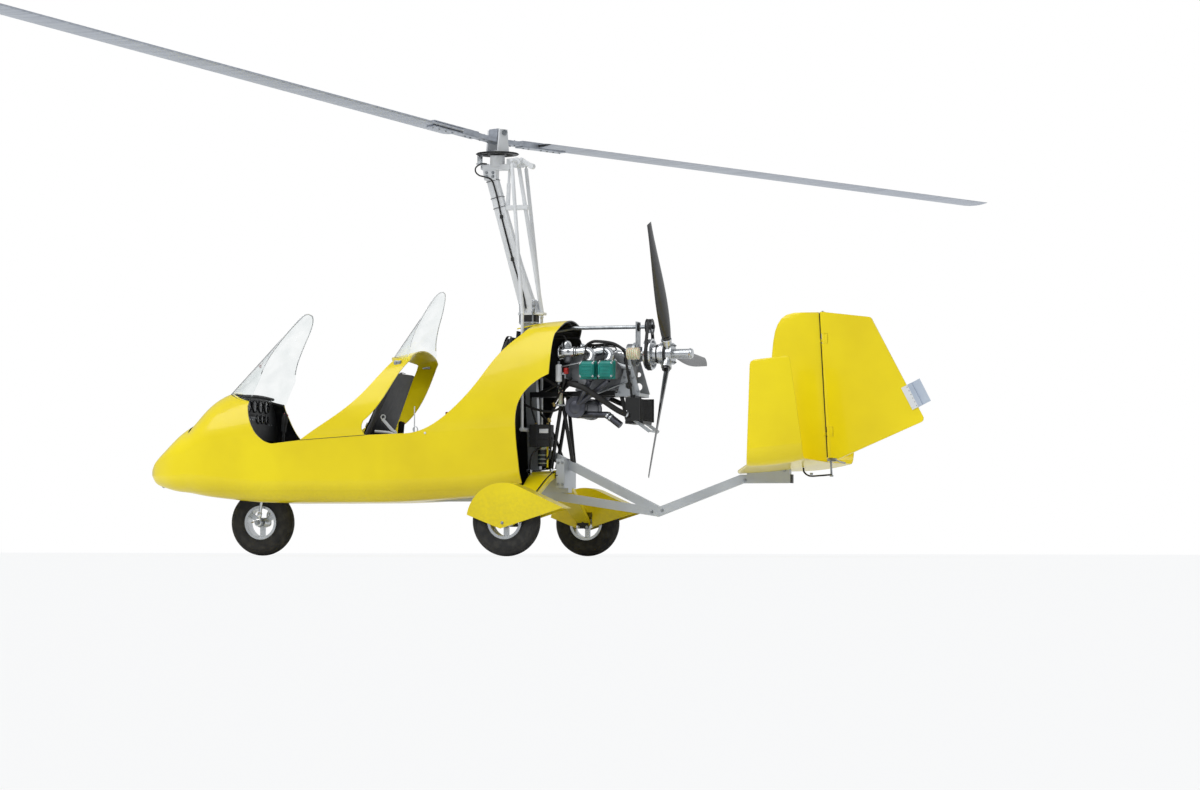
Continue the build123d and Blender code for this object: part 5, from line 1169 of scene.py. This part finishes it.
class GYRO_OT_engine(GyroStep):
    """Carburettor tops, polished elbows, cover ribs and bolts, coils, leads and side fittings"""

    bl_idname = "gyro.engine"
    bl_label = "Engine fittings"

    def make(self, scene, sizes):
        self.intake()
        self.heads()
        self.side_parts()

    def intake(self):
        elbows = []
        for side, shift in ((1, 0), (-1, 24)):
            for start, end in ((-228 + shift, -320 + shift), (-342 + shift, -432 + shift)):
                run = end - start
                bend = ((start, 150, 1197), (start + run * 0.4, 150, 1201), (start + run * 0.74, 160, 1198),
                        (end - 4, 184, 1172), (end, 208, 1136))
                elbows.append(("tube", mirrored(bend, side), 25, 20, 5))
                elbows.append(("knob", (end, side * 206, 1146), (0, side * 0.2, -1), 31, 9, 2))
        pieces(
            "airframe",
            ("carburettor_tops", "bright",
             ("both lathe", ((-22, 27), (0, 27), (3, 30), (12, 30), (24, 27), (33, 19), (38, 8), (39, 0)),
              (-154, 150, 1228), UP),
             ("both ring", ((0, 33), (0, 40), (5, 41.5), (9, 40), (9, 33)), (-120, 150, 1196), AHEAD, 36)),
            ("carburettor_bodies", "cast",
             ("both lathe", ((0, 22), (4, 27), (26, 25), (32, 19), (34, 8)), (-166, 150, 1168), DOWN),
             ("both block", (-196, 120, 1174), (-138, 180, 1220), 5),
             ("both knob", (-176, 178, 1200), LEFT, 9, 12, 2)),
            ("carburettor_throats", "black",
             ("both knob", (-118.5, 150, 1196), AHEAD, 31, 2, 0.5, 32),
             ("both tube", ((-112, 119, 1196), (-112, 150, 1197), (-112, 181, 1196)), 2.5, 8)),
            ("carburettor_boots", "rubber",
             ("both lathe", ((0, 22), (3, 27), (9, 24), (14, 27), (20, 24), (24, 22)), (-203, 150, 1196),
              BACK)),
            ("intake_elbows", "bright", *elbows),
        )

    def heads(self):
        ribs, bolts, leads = [], [], []
        for x, side in HEADS:
            bars = [((x - 34, 286, z - 2.5), (x + 34, 291, z + 2.5), 1.5) for z in (1063, 1107)]
            bars += [((x + dx - 2.5, 286, 1063), (x + dx + 2.5, 291, 1107), 1.5) for dx in (-34, 34)]
            bars.append(((x - 24, 286, 1080), (x + 24, 290, 1090), 2))
            bars.append(((x - 51.5, 240, 1032), (x + 51.5, 249, 1138), 3))
            ribs += [("block", *mirrored(bar, side)) for bar in bars]
            corners = (x - 38, x + 38)
            spots = grid(corners, (286,), (1047, 1123), LEFT) + grid(corners, (262,), (1131,), UP)
            bolts += [mirrored(spot, side) for spot in spots]
            lead = ((-278, 44, 1222), (-300, 66, 1244), (x + 44, 110, 1240), (x + 42, 152, 1236),
                    (x + 38, 190, 1196), (x + 36, 216, 1150))
            leads.append(("tube", mirrored(lead, side), 4, 8))
            leads.append(("knob", (x + 36, side * 218, 1134), (0, -side * 0.1, 1), 8, 26, 2, 16))
        pieces(
            "airframe",
            ("cover_ribs", "teal", *ribs),
            ("cover_bolts", "bright", ("bolt", 10, 6, bolts)),
            ("generator_cover", "cast",
             ("lathe", ((-17, 66), (8, 64), (14, 50), (26, 46), (32, 40), (33, 12), (38, 10)),
              (-158, 0, 1082), AHEAD, 40)),
            ("ignition_coils", "plastic",
             ("both block", (-300, 22, 1182), (-232, 66, 1226), 4),
             ("both knob", (-266, 44, 1224), UP, 9, 14, 2),
             ("block", (-392, -34, 1184), (-322, 34, 1214), 4)),
            ("ignition_leads", "rubber", *leads),
        )

    def side_parts(self):
        pleat = ((0, 31), (3, 35.5), (8, 35.5), (11, 31))
        filter_side = [(index * 12 + step, radius) for index in range(6) for step, radius in pleat]
        taps = []
        for x, z in ((-70, 893), (-41, 801)):
            taps.append(("knob", (x, 112, z - 13), (0.3, 0, 1), 10, 26, 3))
            taps.append(("knob", (x, 106, z), LEFT, 6, 18, 2))
        bolts = [((x, 84, 1185 - (x + 200) / 24), UP) for x in (-220, -270, -320, -370, -420)]
        for x, z in ((-522, 1166), (-579, 966), (-464, 960), (-549, 1046), (-498, 1046)):
            bolts.append(((x, 108, z), LEFT))
        bolts = both_sides(*bolts, *grid((-250, -400), (116,), (977,), LEFT))
        bolts += circle((-150, 0, 1082), AHEAD, 58, 6) + circle((-545, 0, PROP_Z), BACK, 54, 8)
        pieces(
            "airframe",
            ("breather_can", "white",
             ("lathe", ((0, 10), (3, 17), (8, 19), (96, 19), (101, 17), (104, 10)), (-124, 200, 1020), UP)),
            ("filter_bodies", "bottle",
             ("lathe", ((0, 9), (2, 13), (98, 13), (102, 9)), (-110, 120, 890), UP),
             ("lathe", ((-2, 14), *filter_side, (73, 14)), (-528, 150, 1183), BACK, 36)),
            ("engine_rods", "steel",
             ("knob", (-124, 200, 1123), UP, 8, 18, 1.5),
             ("knob", (-124, 200, 1006), UP, 8, 16, 1.5),
             ("tube", ((-136, 204, 1109), (-190, 225, 1116), (-268, 248, 1128)), 4, 8),
             ("block", (-148, 48, 882), (-84, 140, 890), 2),
             ("block", (-168, 90, 1040), (-160, 206, 1100), 1.5),
             ("block", (-166, 190, 1062), (-140, 210, 1074), 1.5),
             ("tube", ((-201, 128, 902), (-300, 124, 940), (-400, 118, 977), (-537, 110, 1029)), 5.5, 10)),
            ("fuel_pump", "red",
             ("block", (-184, 184, 1066), (-158, 216, 1102), 5),
             ("block", (-180, 216, 1076), (-162, 221, 1092), 1.5)),
            ("engine_brackets", "silver",
             ("tube", ((-430, 98, 1150), (-458, 112, 1122), (-505, 114, 1108), (-540, 110, 1104)), 13, 14, 6,
              0.3, LEFT),
             ("tube", ((-536, 104, 1182), (-530, 126, 1183), (-530, 150, 1183)), 7, 12)),
            ("fuel_taps", "brass", *taps),
            ("engine_bolts", "steel", ("bolt", 13, 7, bolts)),
        )


class GYRO_OT_hoses(GyroStep):
    """Coolant and fuel hoses, cables and their band clamps"""

    bl_idname = "gyro.hoses"
    bl_label = "Hoses and clamps"

    def make(self, scene, sizes):
        hoses, bands = [], []
        for radius, clamped, points in HOSES:
            radius *= sizes.hose_scale
            hoses.append(("tube", points, radius, 14, 7))
            if clamped:
                bands += self.clamp(points[0], points[1], radius) + self.clamp(points[-1], points[-2], radius)
        for x, radius in ((-209, 27.5), (-220, 26)):
            bands.append(("both ring", band(23, radius, 6), (x, 150, 1196), BACK, 28))
        for x, z in ((-398, 826.7), (-415, 813.9)):
            bands.append(("ring", band(20, 23.5, 11), (x, 120.6, z), (-0.798, 0.047, -0.601), 28))
        pieces("airframe", ("engine_hoses", "rubber", *hoses), ("band_clamps", "bright", *bands))

    def clamp(self, end, towards, radius):
        """Band round a hose near its end, and the band's screw."""
        along = (Vector(towards) - Vector(end)).normalized()
        start = Vector(end) + along * CLAMP_WIDTH
        screw = start + along * (CLAMP_WIDTH / 2) + Vector((0, -7, radius + 3))
        return [
            ("ring", band(radius - 1, radius + 1.4, CLAMP_WIDTH), tuple(start), tuple(along), 24),
            ("knob", tuple(screw), LEFT, 3.6, 14, 1, 12),
        ]


class GYRO_OT_exhaust(GyroStep):
    """Bands, end rings and port flanges of the muffler"""

    bl_idname = "gyro.exhaust"
    bl_label = "Exhaust fittings"

    def make(self, scene, sizes):
        ports = [("ring", band(14, 22, 9, -5), (x, side * 216, 1029), UP, 24) for x, side in HEADS]
        pieces("airframe", (
            "exhaust_rings", "exhaust",
            ("both ring", band(58, 62.5, 18, -9), (-215, 110, 872), LEFT, 48),
            ("both ring", ((-7, 56), (-7, 61.5), (-3, 63), (1, 61.5), (1, 56)), (-215, 170, 872), LEFT, 48),
            ("both lathe", ((0, 40), (3, 36), (4, 12)), (-215, 169.5, 872), LEFT),
            *ports,
        ))


class GYRO_OT_radiator(GyroStep):
    """Fins, tubes, tank seams, cap and brackets of the radiator"""

    bl_idname = "gyro.radiator"
    bl_label = "Radiator fins"

    def make(self, scene, sizes):
        heights = [796 + 120 * index / (sizes.radiator_fins - 1) for index in range(sizes.radiator_fins)]
        tubes = []
        for y in range(-120, 121, 24):
            for x in (-518, -602):
                tubes.append(("block", (x - 2.4, y - 1.6, 793), (x + 2.4, y + 1.6, 919), 0.8))
        pieces(
            "airframe",
            ("radiator_fins", "black", ("slat", 4, 256, grid((-519, -601), (0,), heights, LEFT))),
            ("radiator_tubes", "black", *tubes),
            ("radiator_tanks", "black",
             ("both block", (-608, 130, 790), (-512, 134, 928), 1),
             ("lathe", ((0, 10), (9, 10), (10, 16), (17, 16), (19, 8)), (-560, 141, 925), UP)),
            ("radiator_brackets", "silver",
             ("both plate", ((-542, 95, 819), (-654, 95, 738), (-642, 95, 722), (-530, 95, 803)), 3),
             ("tube", ((-645, -97, 732), (-645, 0, 732), (-645, 97, 732)), 6, 10)),
            ("radiator_bolts", "steel",
             ("bolt", 11, 6, both_sides(((-545, 97, 809), LEFT), ((-588, 97, 778), LEFT)))),
        )


class GYRO_OT_propeller(GyroStep):
    """Hub bolts, pulley rim, bands, blade root rings and the pin through the tube"""

    bl_idname = "gyro.propeller"
    bl_label = "Propeller fittings"

    def make(self, scene, sizes):
        roots = []
        for angle in (30, 150, 270):
            out = Vector((0, math.sin(math.radians(angle)), math.cos(math.radians(angle))))
            base = Vector((-735, 0, PROP_Z)) + out * 84
            roots.append(("ring", rim(25, 30.5, 32, 3, 14), tuple(base), out, 32))
            across = out.cross(Vector(AHEAD))
            for way in SIDES:
                ear = tuple(base + out * 7 + across * (way * 30))
                roots.append(("knob", ear, across * way, 4.5, 8, 1, 6))
        bolts = circle((-765, 0, PROP_Z), BACK, 57, 6, 30) + circle((-640, 0, PROP_Z), BACK, 72, 6)
        pieces(
            "propeller",
            ("prop_bolts", "steel", ("bolt", 12, 7, bolts)),
            ("prop_rims", "bright",
             ("ring", rim(80, 89.5, 91, 2, 10), (-633, 0, PROP_Z), BACK, 64),
             ("ring", band(50, 58, 6), (-648, 0, PROP_Z), BACK, 40),
             ("ring", rim(26, 31, 32, 2, 8), (-864, 0, PROP_Z), BACK, 36),
             ("lathe", ((0, 27), (3, 26), (4, 22)), (-879, 0, PROP_Z), BACK, 36),
             *roots),
            ("prop_tube_pin", "brass", ("knob", (-868, -34, 1180), LEFT, 4, 68, 1, 16)),
            ("prop_black_rings", "black",
             ("ring", band(54, 56.5, 9), (-668, 0, PROP_Z), BACK, 40),
             ("ring", rim(50, 65.5, 66.5, 3, 12), (-713, 0, PROP_Z), BACK, 48)),
        )


# Cockpit
# Columns: side, height and radius of each dial
DIALS = ((-150, 905, 40), (-58, 905, 40), (34, 905, 40), (126, 905, 40), (-150, 830, 29), (-84, 830, 29),
         (-18, 830, 29))
# Station of the panel's face
PANEL_X = 1866
# Points of a belt: share of the cushion's length, side, height above it
BACK_BELT = ((0.05, 150, 9), (0.3, 122, 10), (0.62, 92, 10), (0.9, 76, 9), (0.995, 74, 4), (1.01, 74, -18))
LAP_BELT = ((0.06, 200, -4), (0.1, 186, 8), (0.2, 150, 11), (0.34, 90, 12), (0.42, 30, 12))


class GYRO_OT_cockpit(GyroStep):
    """Dials and switches of the panel, belts, stick grips and boots, pedal treads, levers at the sills"""

    bl_idname = "gyro.cockpit"
    bl_label = "Cockpit fittings"

    def make(self, scene, sizes):
        self.panel_face()
        self.levers()
        self.sticks_and_pedals()
        self.belts()

    def panel_face(self):
        bezels, glasses, marks, switches = [], [], [], []
        for y, z, radius in DIALS:
            lip = ((0, radius - 5), (0, radius), (4, radius), (8, radius - 4), (8, radius - 5))
            bezels.append(("ring", lip, (PANEL_X, y, z), BACK, 36))
            glasses.append(("knob", (PANEL_X + 0.2, y, z), BACK, radius - 4, 3.5, 0.6, 36))
            marks.append(("block", (1861.4, y - 1.2, z - 3), (1862.4, y + 1.2, z + radius * 0.62), 0.3,
                          Matrix.Rotation(y / 60.0, 3, "X"), (1862, y, z)))
            for (x, side, up), aim in circle((1862, y, z), BACK, radius * 0.74, 12):
                marks.append(("block", (x - 0.4, side - 0.9, up - 0.9), (x + 0.4, side + 0.9, up + 0.9), 0))
        for y in range(54, 185, 26):
            switches.append(("knob", (PANEL_X, y, 826), BACK, 7, 5, 1))
            switches.append(("tube", ((1862, y, 826), (1856, y, 829), (1846, y, 834)), 2.6, 8))
        roll = ((1862, -248, 958), (1861, -120, 964), (1861, 0, 966), (1861, 120, 964), (1862, 248, 958))
        pieces(
            "airframe",
            ("dial_bezels", "black", *bezels),
            ("dial_faces", "dark_glass", *glasses),
            ("dial_marks", "white", *marks),
            ("switches", "bright", *switches),
            ("panel_roll", "rubber", ("block", (1858, 46, 848), (1868, 196, 866), 2), ("tube", roll, 9, 12)),
            ("panel_screws", "steel",
             ("rivet", 8, 4, grid((PANEL_X,), (-238, -196, 196, 238), (800, 946), BACK))),
        )

    def levers(self):
        pieces(
            "airframe",
            ("sill_levers", "white",
             ("tube", ((962, 236, 812), (930, 232, 776), (900, 228, 742), (880, 226, 716), (870, 226, 560),
                       (866, 226, 332)), 10, 12, 6, 0.6, LEFT),
             ("tube", ((1010, 236, 740), (960, 234, 736), (915, 230, 730), (880, 226, 712)), 8, 12, 6, 0.6,
              LEFT),
             ("ring", band(11, 16, 6, -3), (958, 236, 824), LEFT, 24),
             ("tube", ((755, 250, 885), (756, 250, 772), (760, 252, 600), (764, 252, 336)), 3.5, 8),
             ("ring", band(15, 20, 5, -2.5), (732, 300, 746), (0.4, 1, 0), 28),
             ("tube", ((734, 302, 728), (740, 322, 716), (744, 340, 706)), 4, 10),
             ("tube", ((746, -300, 856), (750, -300, 780), (758, -300, 600), (764, -298, 340)), 4, 8)),
            ("lever_knob", "red", ("knob", (746, -300, 852), UP, 10, 22, 4)),
            ("throttle_lever", "rubber",
             ("tube", ((1330, 246, 690), (1362, 246, 712), (1404, 246, 738)), 15, 14),
             ("tube", ((1290, 246, 332), (1300, 246, 500), (1312, 246, 640), (1330, 246, 690)), 8, 10)),
            ("sill_button", "white", ("knob", (653, 345, 723), LEFT, 7, 8, 2)),
        )

    def sticks_and_pedals(self):
        boots, buttons, treads = [], [], []
        boot = ((0, 46), (8, 44), (14, 36), (22, 38), (30, 28), (38, 30), (46, 18), (58, 13))
        for x, z in ((1700, 525), (960, 375)):
            boots.append(("lathe", boot, (x, 0, z), UP, 28))
        for x, z in ((1682, 862), (929, 807)):
            boots.append(("knob", (x + 5, 0, z - 72), (-0.09, 0, 1), 18.5, 64, 5, 20))
            buttons.append(("knob", (x - 14, 0, z - 12), (-1, 0, 0.2), 5, 7, 1))
            buttons.append(("knob", (x, 8, z - 6), (0, 0.2, 1), 4.5, 7, 1))
        for x, y in ((2120, 110), (1230, 272)):
            for low in range(522, 575, 13):
                treads.append(("both block", (x - 15, y - 28, low), (x - 9.5, y + 28, low + 7), 1.5))
        pieces(
            "airframe",
            ("stick_boots", "rubber", *boots),
            ("stick_buttons", "red", *buttons),
            ("pedal_treads", "rubber", *treads),
        )

    def belts(self):
        straps, buckles = [], []
        for name, corners, *halves in CUSHIONS:
            front_top, back_top = Vector(corners[2]), Vector(corners[3])
            along = (front_top - back_top).normalized()
            out = Vector((along.y, -along.x)) if along.x < 0 else Vector((-along.y, along.x))
            is_back = name.endswith("back")
            points = []
            for share, y, lift in BACK_BELT if is_back else LAP_BELT:
                p = back_top.lerp(front_top, share) + out * lift
                points.append((p.x, y, p.y))
            straps.append(("both tube", tuple(points), 22, 10, 6, 0.08, (out.x, 0, out.y)))
            if is_back:
                p = back_top.lerp(front_top, 0.45) + out * 12
                turn = Matrix.Rotation(-math.atan2(out.y, out.x), 3, "Y")
                buckles.append(("both block", (p.x - 5, 85, p.y - 15), (p.x + 5, 135, p.y + 15), 3, turn))
            else:
                p = back_top.lerp(front_top, 0.43) + out * 14
                buckles.append(("block", (p.x - 30, -32, p.y - 7), (p.x + 30, 32, p.y + 7), 4))
        pieces("airframe", ("seat_belts", "webbing", *straps), ("belt_buckles", "bright", *buckles))


# Pod
# Front view of each screen's top edge: (side, height) down from the tip
SCREEN_TOPS = (
    ("windscreen_front", ((0, 1462), (62, 1452), (118, 1415), (168, 1345), (215, 1240), (262, 1110))),
    ("windscreen_rear", ((0, 1578), (52, 1568), (100, 1532), (145, 1462), (185, 1362), (228, 1240))),
)
# Station that is ahead of everything, from which rays go back to the screens
FAR_AHEAD = 3500


class GYRO_OT_pod(GyroStep):
    """Painted highlight beads along the screens' edges, seam lines, hoop brackets, towing ring and yaw string
    """

    bl_idname = "gyro.pod"
    bl_label = "Pod fittings"

    def make(self, scene, sizes):
        edges = []
        for node, top in SCREEN_TOPS:
            points = self.screen_edge(node, top)
            if len(points) < 6:
                raise RuntimeError(f"the edge of {node} was not found")
            # Painted highlight: a white bead along each screen's top edge, where the clear sheet's edge
            # catches the light
            edges.append(("tube", points, sizes.highlight_bead_radius * 1000, 8, 3))
        ring = []
        for step in range(25):
            a = 2 * math.pi * step / 24
            ring.append((2478 + 11 * math.cos(a), 6 * math.sin(a), 426 + 11 * math.sin(a)))
        front = self.screen_point("windscreen_front", 0, 1150)
        string = ((front, 0, 1144), (front + 12, 3, 1158), (front - 4, -3, 1170), (front - 14, 2, 1184))
        pieces(
            "airframe",
            ("screen_edging", "edging", *edges),
            ("pod_seams", "black",
             ("both tube", ((1446, 350.6, 687), (1240, 351.4, 700.6), (1031, 352, 714)), 1.8, 6)),
            ("pod_brackets", "steel",
             ("both block", (838, 240, 1132), (884, 262, 1158), 4),
             ("both knob", (848, 261, 1145), LEFT, 7, 6, 1, 16),
             ("both knob", (872, 261, 1145), LEFT, 7, 6, 1, 16),
             ("tube", ring, 3, 8, 1)),
            ("yaw_string", "red",
             ("tube", string, 3.2, 8),
             ("tube", ((front, 2, 1144), (front - 8, 14, 1154), (front - 12, 22, 1152)), 2.6, 8)),
        )

    def screen_point(self, node, y, z):
        """Station of the sheet's outside at a side and height, or None past its edge."""
        hits = [tree.ray_cast(m(FAR_AHEAD, y, z), Vector(BACK))[0] for tree in surface_trees(node)]
        hits = [hit.x for hit in hits if hit is not None]
        return max(hits) * 1000 - SHIFT_X if hits else None

    def screen_edge(self, node, top):
        """Points on the sheet's outside along its top edge, from the right end round to the left."""
        curve = curve_points([Vector((y, z)) for y, z in top], 4)
        found = []
        for y, z in [(-p.x, p.y) for p in curve[::-1]] + [(p.x, p.y) for p in curve[1:]]:
            x = self.screen_point(node, y, z - 2.5)
            if x is not None:
                found.append((x - 2, y, z))
        return found


# Gear
class GYRO_OT_gear(GyroStep):
    """Clamps and bolts of the main gear, brake cylinder, brake lines, wheel bolts and fork bosses"""

    bl_idname = "gyro.gear"
    bl_label = "Gear fittings"

    def make(self, scene, sizes):
        lines = []
        for y, z in ((86, 480), (112, 472)):
            line = ((96, y, z), (40, y + 4, z - 12), (-40, y + 2, z - 6), (-92, y, z + 4))
            lines.append(("tube", line, 4, 8))
        pipe = ((-60, 50, 515), (-60, 76, 506), (-58, 130, 487.5), (-52, 260, 435), (-44, 460, 341),
                (-32, 640, 257), (-26, 690, 232), (-24, 720, 210))
        bolts = [((2, 860, 190), LEFT), ((-107, 96, 574), UP)]
        bolts += grid((-26, 26), (680,), (178, 226), RIGHT) + grid((-120, -94), (115,), (424, 550), LEFT)
        bolts += grid((-70, 6, 92), (54,), (512,), UP)
        pieces(
            "airframe",
            ("bow_end_clamps", "black", ("both block", (-36, 680, 168), (36, 692, 236), 4)),
            ("brake_cylinder", "bright",
             ("tube", ((103, 100, 496), (0, 100, 501), (-104, 100, 508)), 10, 16),
             ("knob", (80, 100, 487), UP, 13, 22, 3),
             ("knob", (-50, 100, 493), UP, 13, 22, 3),
             ("block", (72, 60, 500), (88, 100, 506), 1.5),
             ("block", (-58, 60, 500), (-42, 100, 506), 1.5)),
            ("brake_lines", "rubber", *lines, ("both tube", pipe, 3.5, 8)),
            ("gear_bolts", "steel", ("bolt", 13, 7, both_sides(*bolts))),
        )
        for label, x, y, body in WHEELS:
            nuts = [nut for way in SIDES for nut in circle((x, y + way * 40, AXLE_Z), (0, way, 0), 25, 6)]
            pieces(body, (f"wheel_bolts_{label}", "steel", ("bolt", 7.5, 4, nuts)))
        pieces(
            "nose_fork",
            ("nose_axle_nuts", "steel", ("bolt", 19, 9, both_sides(((1820, 93, AXLE_Z), LEFT)))),
            ("fork_bosses", "bright",
             ("both knob", (1790, 72, 412), FORK_AXIS, 15, 44, 3, 28),
             ("both knob", (1820, 66, AXLE_Z), LEFT, 24, 18, 4, 32),
             ("both knob", (1815, 72, 232), FORK_AXIS, 14, 30, 3, 28)),
        )


# Tail
# The rudder's hinge line: height and station of its lower end, station gained for each millimetre up
HINGE_LOW = 561
HINGE_LOW_X = -1708
HINGE_RAKE = 48 / 855
# Heights of the knuckles' lower ends, and how far their covers reach below and above them
KNUCKLES = (700, 1240)
COVER_LOW = -7.8
COVER_HIGH = 49.8
HINGE_STEPS = 12


class GYRO_OT_tail(GyroStep):
    """Rear bar with the lower rudder pin, horn, bolts, tube cap, rivets of the tab and the hinge's covers"""

    bl_idname = "gyro.tail"
    bl_label = "Tail fittings"

    def make(self, scene, sizes):
        bolts = []
        for x, z in ((-1204, 444), (-1250, 500), (-1440, 500), (-640, 262), (-704, 270)):
            bolts.append(((x, 25, z), LEFT))
        rivets = []
        for share in ((index + 0.5) / 6 for index in range(6)):
            rivets.append(((-2154 - 66 * share, 8, 984 - 127 * share), LEFT))
        corners = ((-2124, 969), (-2190, 842), (-2226, 860), (-2160, 987))
        strip = [("plate", [(x, side * 8.1, z) for x, z in corners[::side]], 1.2, 0.4) for side in SIDES]
        bar = ((-1546, 0, 514), (-1552, 0, 488), (-1584, 0, 467), (-1650, 0, 469), (-1716, 0, 474))
        horn = ((-1700, -50, 554), (-1700, 50, 554), (-1714, 56, 554), (-1744, 12, 554), (-1744, -12, 554),
                (-1714, -56, 554))
        covers = []
        for z in KNUCKLES:
            low, high = z + COVER_LOW, z + COVER_HIGH
            covers.append(("rings", [self.hinge_arc(height, 305, 55, 15.9, 14.0) for height in (low, high)]))
            x = self.hinge_x(z + 21)
            covers.append(("both block", (x - 25.4, 12.6, low), (x - 3, 14.4, high), 0.4))
        seal = [self.hinge_arc(z, 33, -33, 20.9, 18.6) for z in (575, 1410)]
        pieces(
            "airframe",
            ("rudder_foot_bar", "black", ("tube", bar, 11, 12, 6, 0.45)),
            ("rudder_foot_pin", "steel",
             ("tube", ((-1713, 0, 468), (-1711, 0, 510), (-1709, 0, 551)), 6, 10),
             ("knob", (-1713, 0, 462), UP, 11, 9, 1.5, 6),
             ("knob", (-1594, 0, 473), UP, 9, 12, 1.5, 6)),
            ("boom_end_cap", "plastic", ("block", (-1482, -25.5, 425.5), (-1474, 25.5, 476.5), 2)),
            ("boom_bolts", "steel", ("bolt", 15, 8, both_sides(*bolts))),
            ("hinge_seal", "rubber", ("rings", seal)),
        )
        pieces(
            "rudder",
            ("rudder_horn", "steel",
             ("plate", horn, 4),
             ("block", (-1744, -6, 554), (-1694, 6, 580), 2),
             ("both knob", (-1704, 44, 550), UP, 6, 14, 1.5),
             ("tube", ((-1734, 10, 560), (-1770, 32, 548), (-1804, 48, 539)), 5, 10),
             ("knob", (-1660.5, 0, 1412), UP, 6, 10, 1.5, 12)),
            ("tab_rivets", "steel", ("rivet", 7, 4, both_sides(*rivets))),
            ("tab_strip", "white", *strip),
            ("hinge_covers", "yellow", *covers),
        )

    def hinge_x(self, z):
        """Station of the rudder's hinge line at a height."""
        return HINGE_LOW_X + (z - HINGE_LOW) * HINGE_RAKE

    def hinge_arc(self, z, first, last, outer, inner):
        """Ring of a bent strip round the hinge line, between two angles measured from straight ahead."""
        angles = [math.radians(first + (last - first) * i / HINGE_STEPS) for i in range(HINGE_STEPS + 1)]
        places = [(outer, a) for a in angles] + [(inner, a) for a in angles[::-1]]
        x = self.hinge_x(z)
        return [m(x + radius * math.cos(a), radius * math.sin(a), z) for radius, a in places]


# Services
class GYRO_OT_services(GyroStep):
    """Battery straps, posts and leads, bottle rings and strap, sides of the drive pulley"""

    bl_idname = "gyro.services"
    bl_label = "Battery and bottle"

    def make(self, scene, sizes):
        rings = [("ring", band(26, 29, 3, -1.5), (15, 74, z), UP, 32) for z in (548, 572, 596)]
        pulley = ((0, 30), (0, 46), (2, 48), (4, 46), (4, 30))
        hood = ((-112, -118, 1352), (-112, -70, 1372), (-114, 0, 1384), (-112, 70, 1372), (-112, 118, 1352))
        pieces(
            "airframe",
            ("battery_strap", "webbing",
             ("block", (-41, 24, 688), (85, 123, 702), 2),
             ("block", (30, 118, 642), (46, 123.5, 780), 1.5)),
            ("battery_panel", "white", ("block", (-35, 118, 724), (21, 121.5, 749), 0.5)),
            ("battery_posts", "brass",
             ("knob", (-14, 72, 774), UP, 8, 13, 1.5),
             ("knob", (58, 72, 774), UP, 8, 13, 1.5)),
            ("battery_leads", "rubber",
             ("tube", ((58, 72, 784), (66, 86, 824), (92, 66, 890), (104, 28, 940), (108, 20, 960)), 5.5, 8),
             ("tube", ((-14, 72, 784), (-30, 90, 810), (-60, 100, 860), (-100, 96, 930), (-140, 98, 1000),
                       (-172, 92, 1050)), 5.5, 8),
             ("tube", ((15, 74, 638), (40, 96, 630), (72, 102, 596), (86, 100, 544), (84, 100, 508)), 5, 8)),
            ("bottle_strap", "yellow", ("block", (-22, 74, 522), (-10, 80, 646), 1)),
            ("bottle_rings", "bottle",
             ("lathe", ((0, 17), (2, 19), (14, 19), (17, 16)), (15, 74, 626), UP, 24), *rings),
            ("drive_pulley_sides", "black",
             ("ring", pulley, (-602, 0, 1348), BACK, 36),
             ("ring", pulley, (-634, 0, 1348), BACK, 36),
             ("knob", (-650, 0, 1348), AHEAD, 14, 14, 2),
             ("knob", (-560, 0, 1348), AHEAD, 26, 20, 3, 32)),
            ("hood_lip", "rubber", ("tube", hood, 4, 8)),
        )


class GYRO_PT_panel(bpy.types.Panel):
    """Buttons of the dressing in the sidebar"""

    bl_label = "Gyrocopter"
    bl_idname = "GYRO_PT_panel"
    bl_space_type = "VIEW_3D"
    bl_region_type = "UI"
    bl_category = "Gyrocopter"

    def draw(self, context):
        sizes = context.scene.gyro
        for name in sizes.__annotations__:
            self.layout.prop(sizes, name)
        for step in STEPS:
            self.layout.operator(step.bl_idname)


STEPS = (
    GYRO_OT_stage,
    GYRO_OT_finishes,
    GYRO_OT_cushions,
    GYRO_OT_tyres,
    GYRO_OT_rotor,
    GYRO_OT_mast,
    GYRO_OT_engine,
    GYRO_OT_hoses,
    GYRO_OT_exhaust,
    GYRO_OT_radiator,
    GYRO_OT_propeller,
    GYRO_OT_cockpit,
    GYRO_OT_pod,
    GYRO_OT_gear,
    GYRO_OT_tail,
    GYRO_OT_services,
)
CLASSES = (GyroSizes,) + STEPS + (GYRO_PT_panel,)


def register():
    """Registers the classes and the scene's sizes."""
    for cls in CLASSES:
        bpy.utils.register_class(cls)
    bpy.types.Scene.gyro = bpy.props.PointerProperty(type=GyroSizes)


def unregister():
    """Takes them off again."""
    del bpy.types.Scene.gyro
    for cls in reversed(CLASSES):
        bpy.utils.unregister_class(cls)


MATERIALS = make_materials()
TREES = make_trees()


def main():
    """Runs every step in order."""
    register()
    for step in STEPS:
        group, name = step.bl_idname.split(".")
        getattr(getattr(bpy.ops, group), name)()


if __name__ == "__main__":
    main()
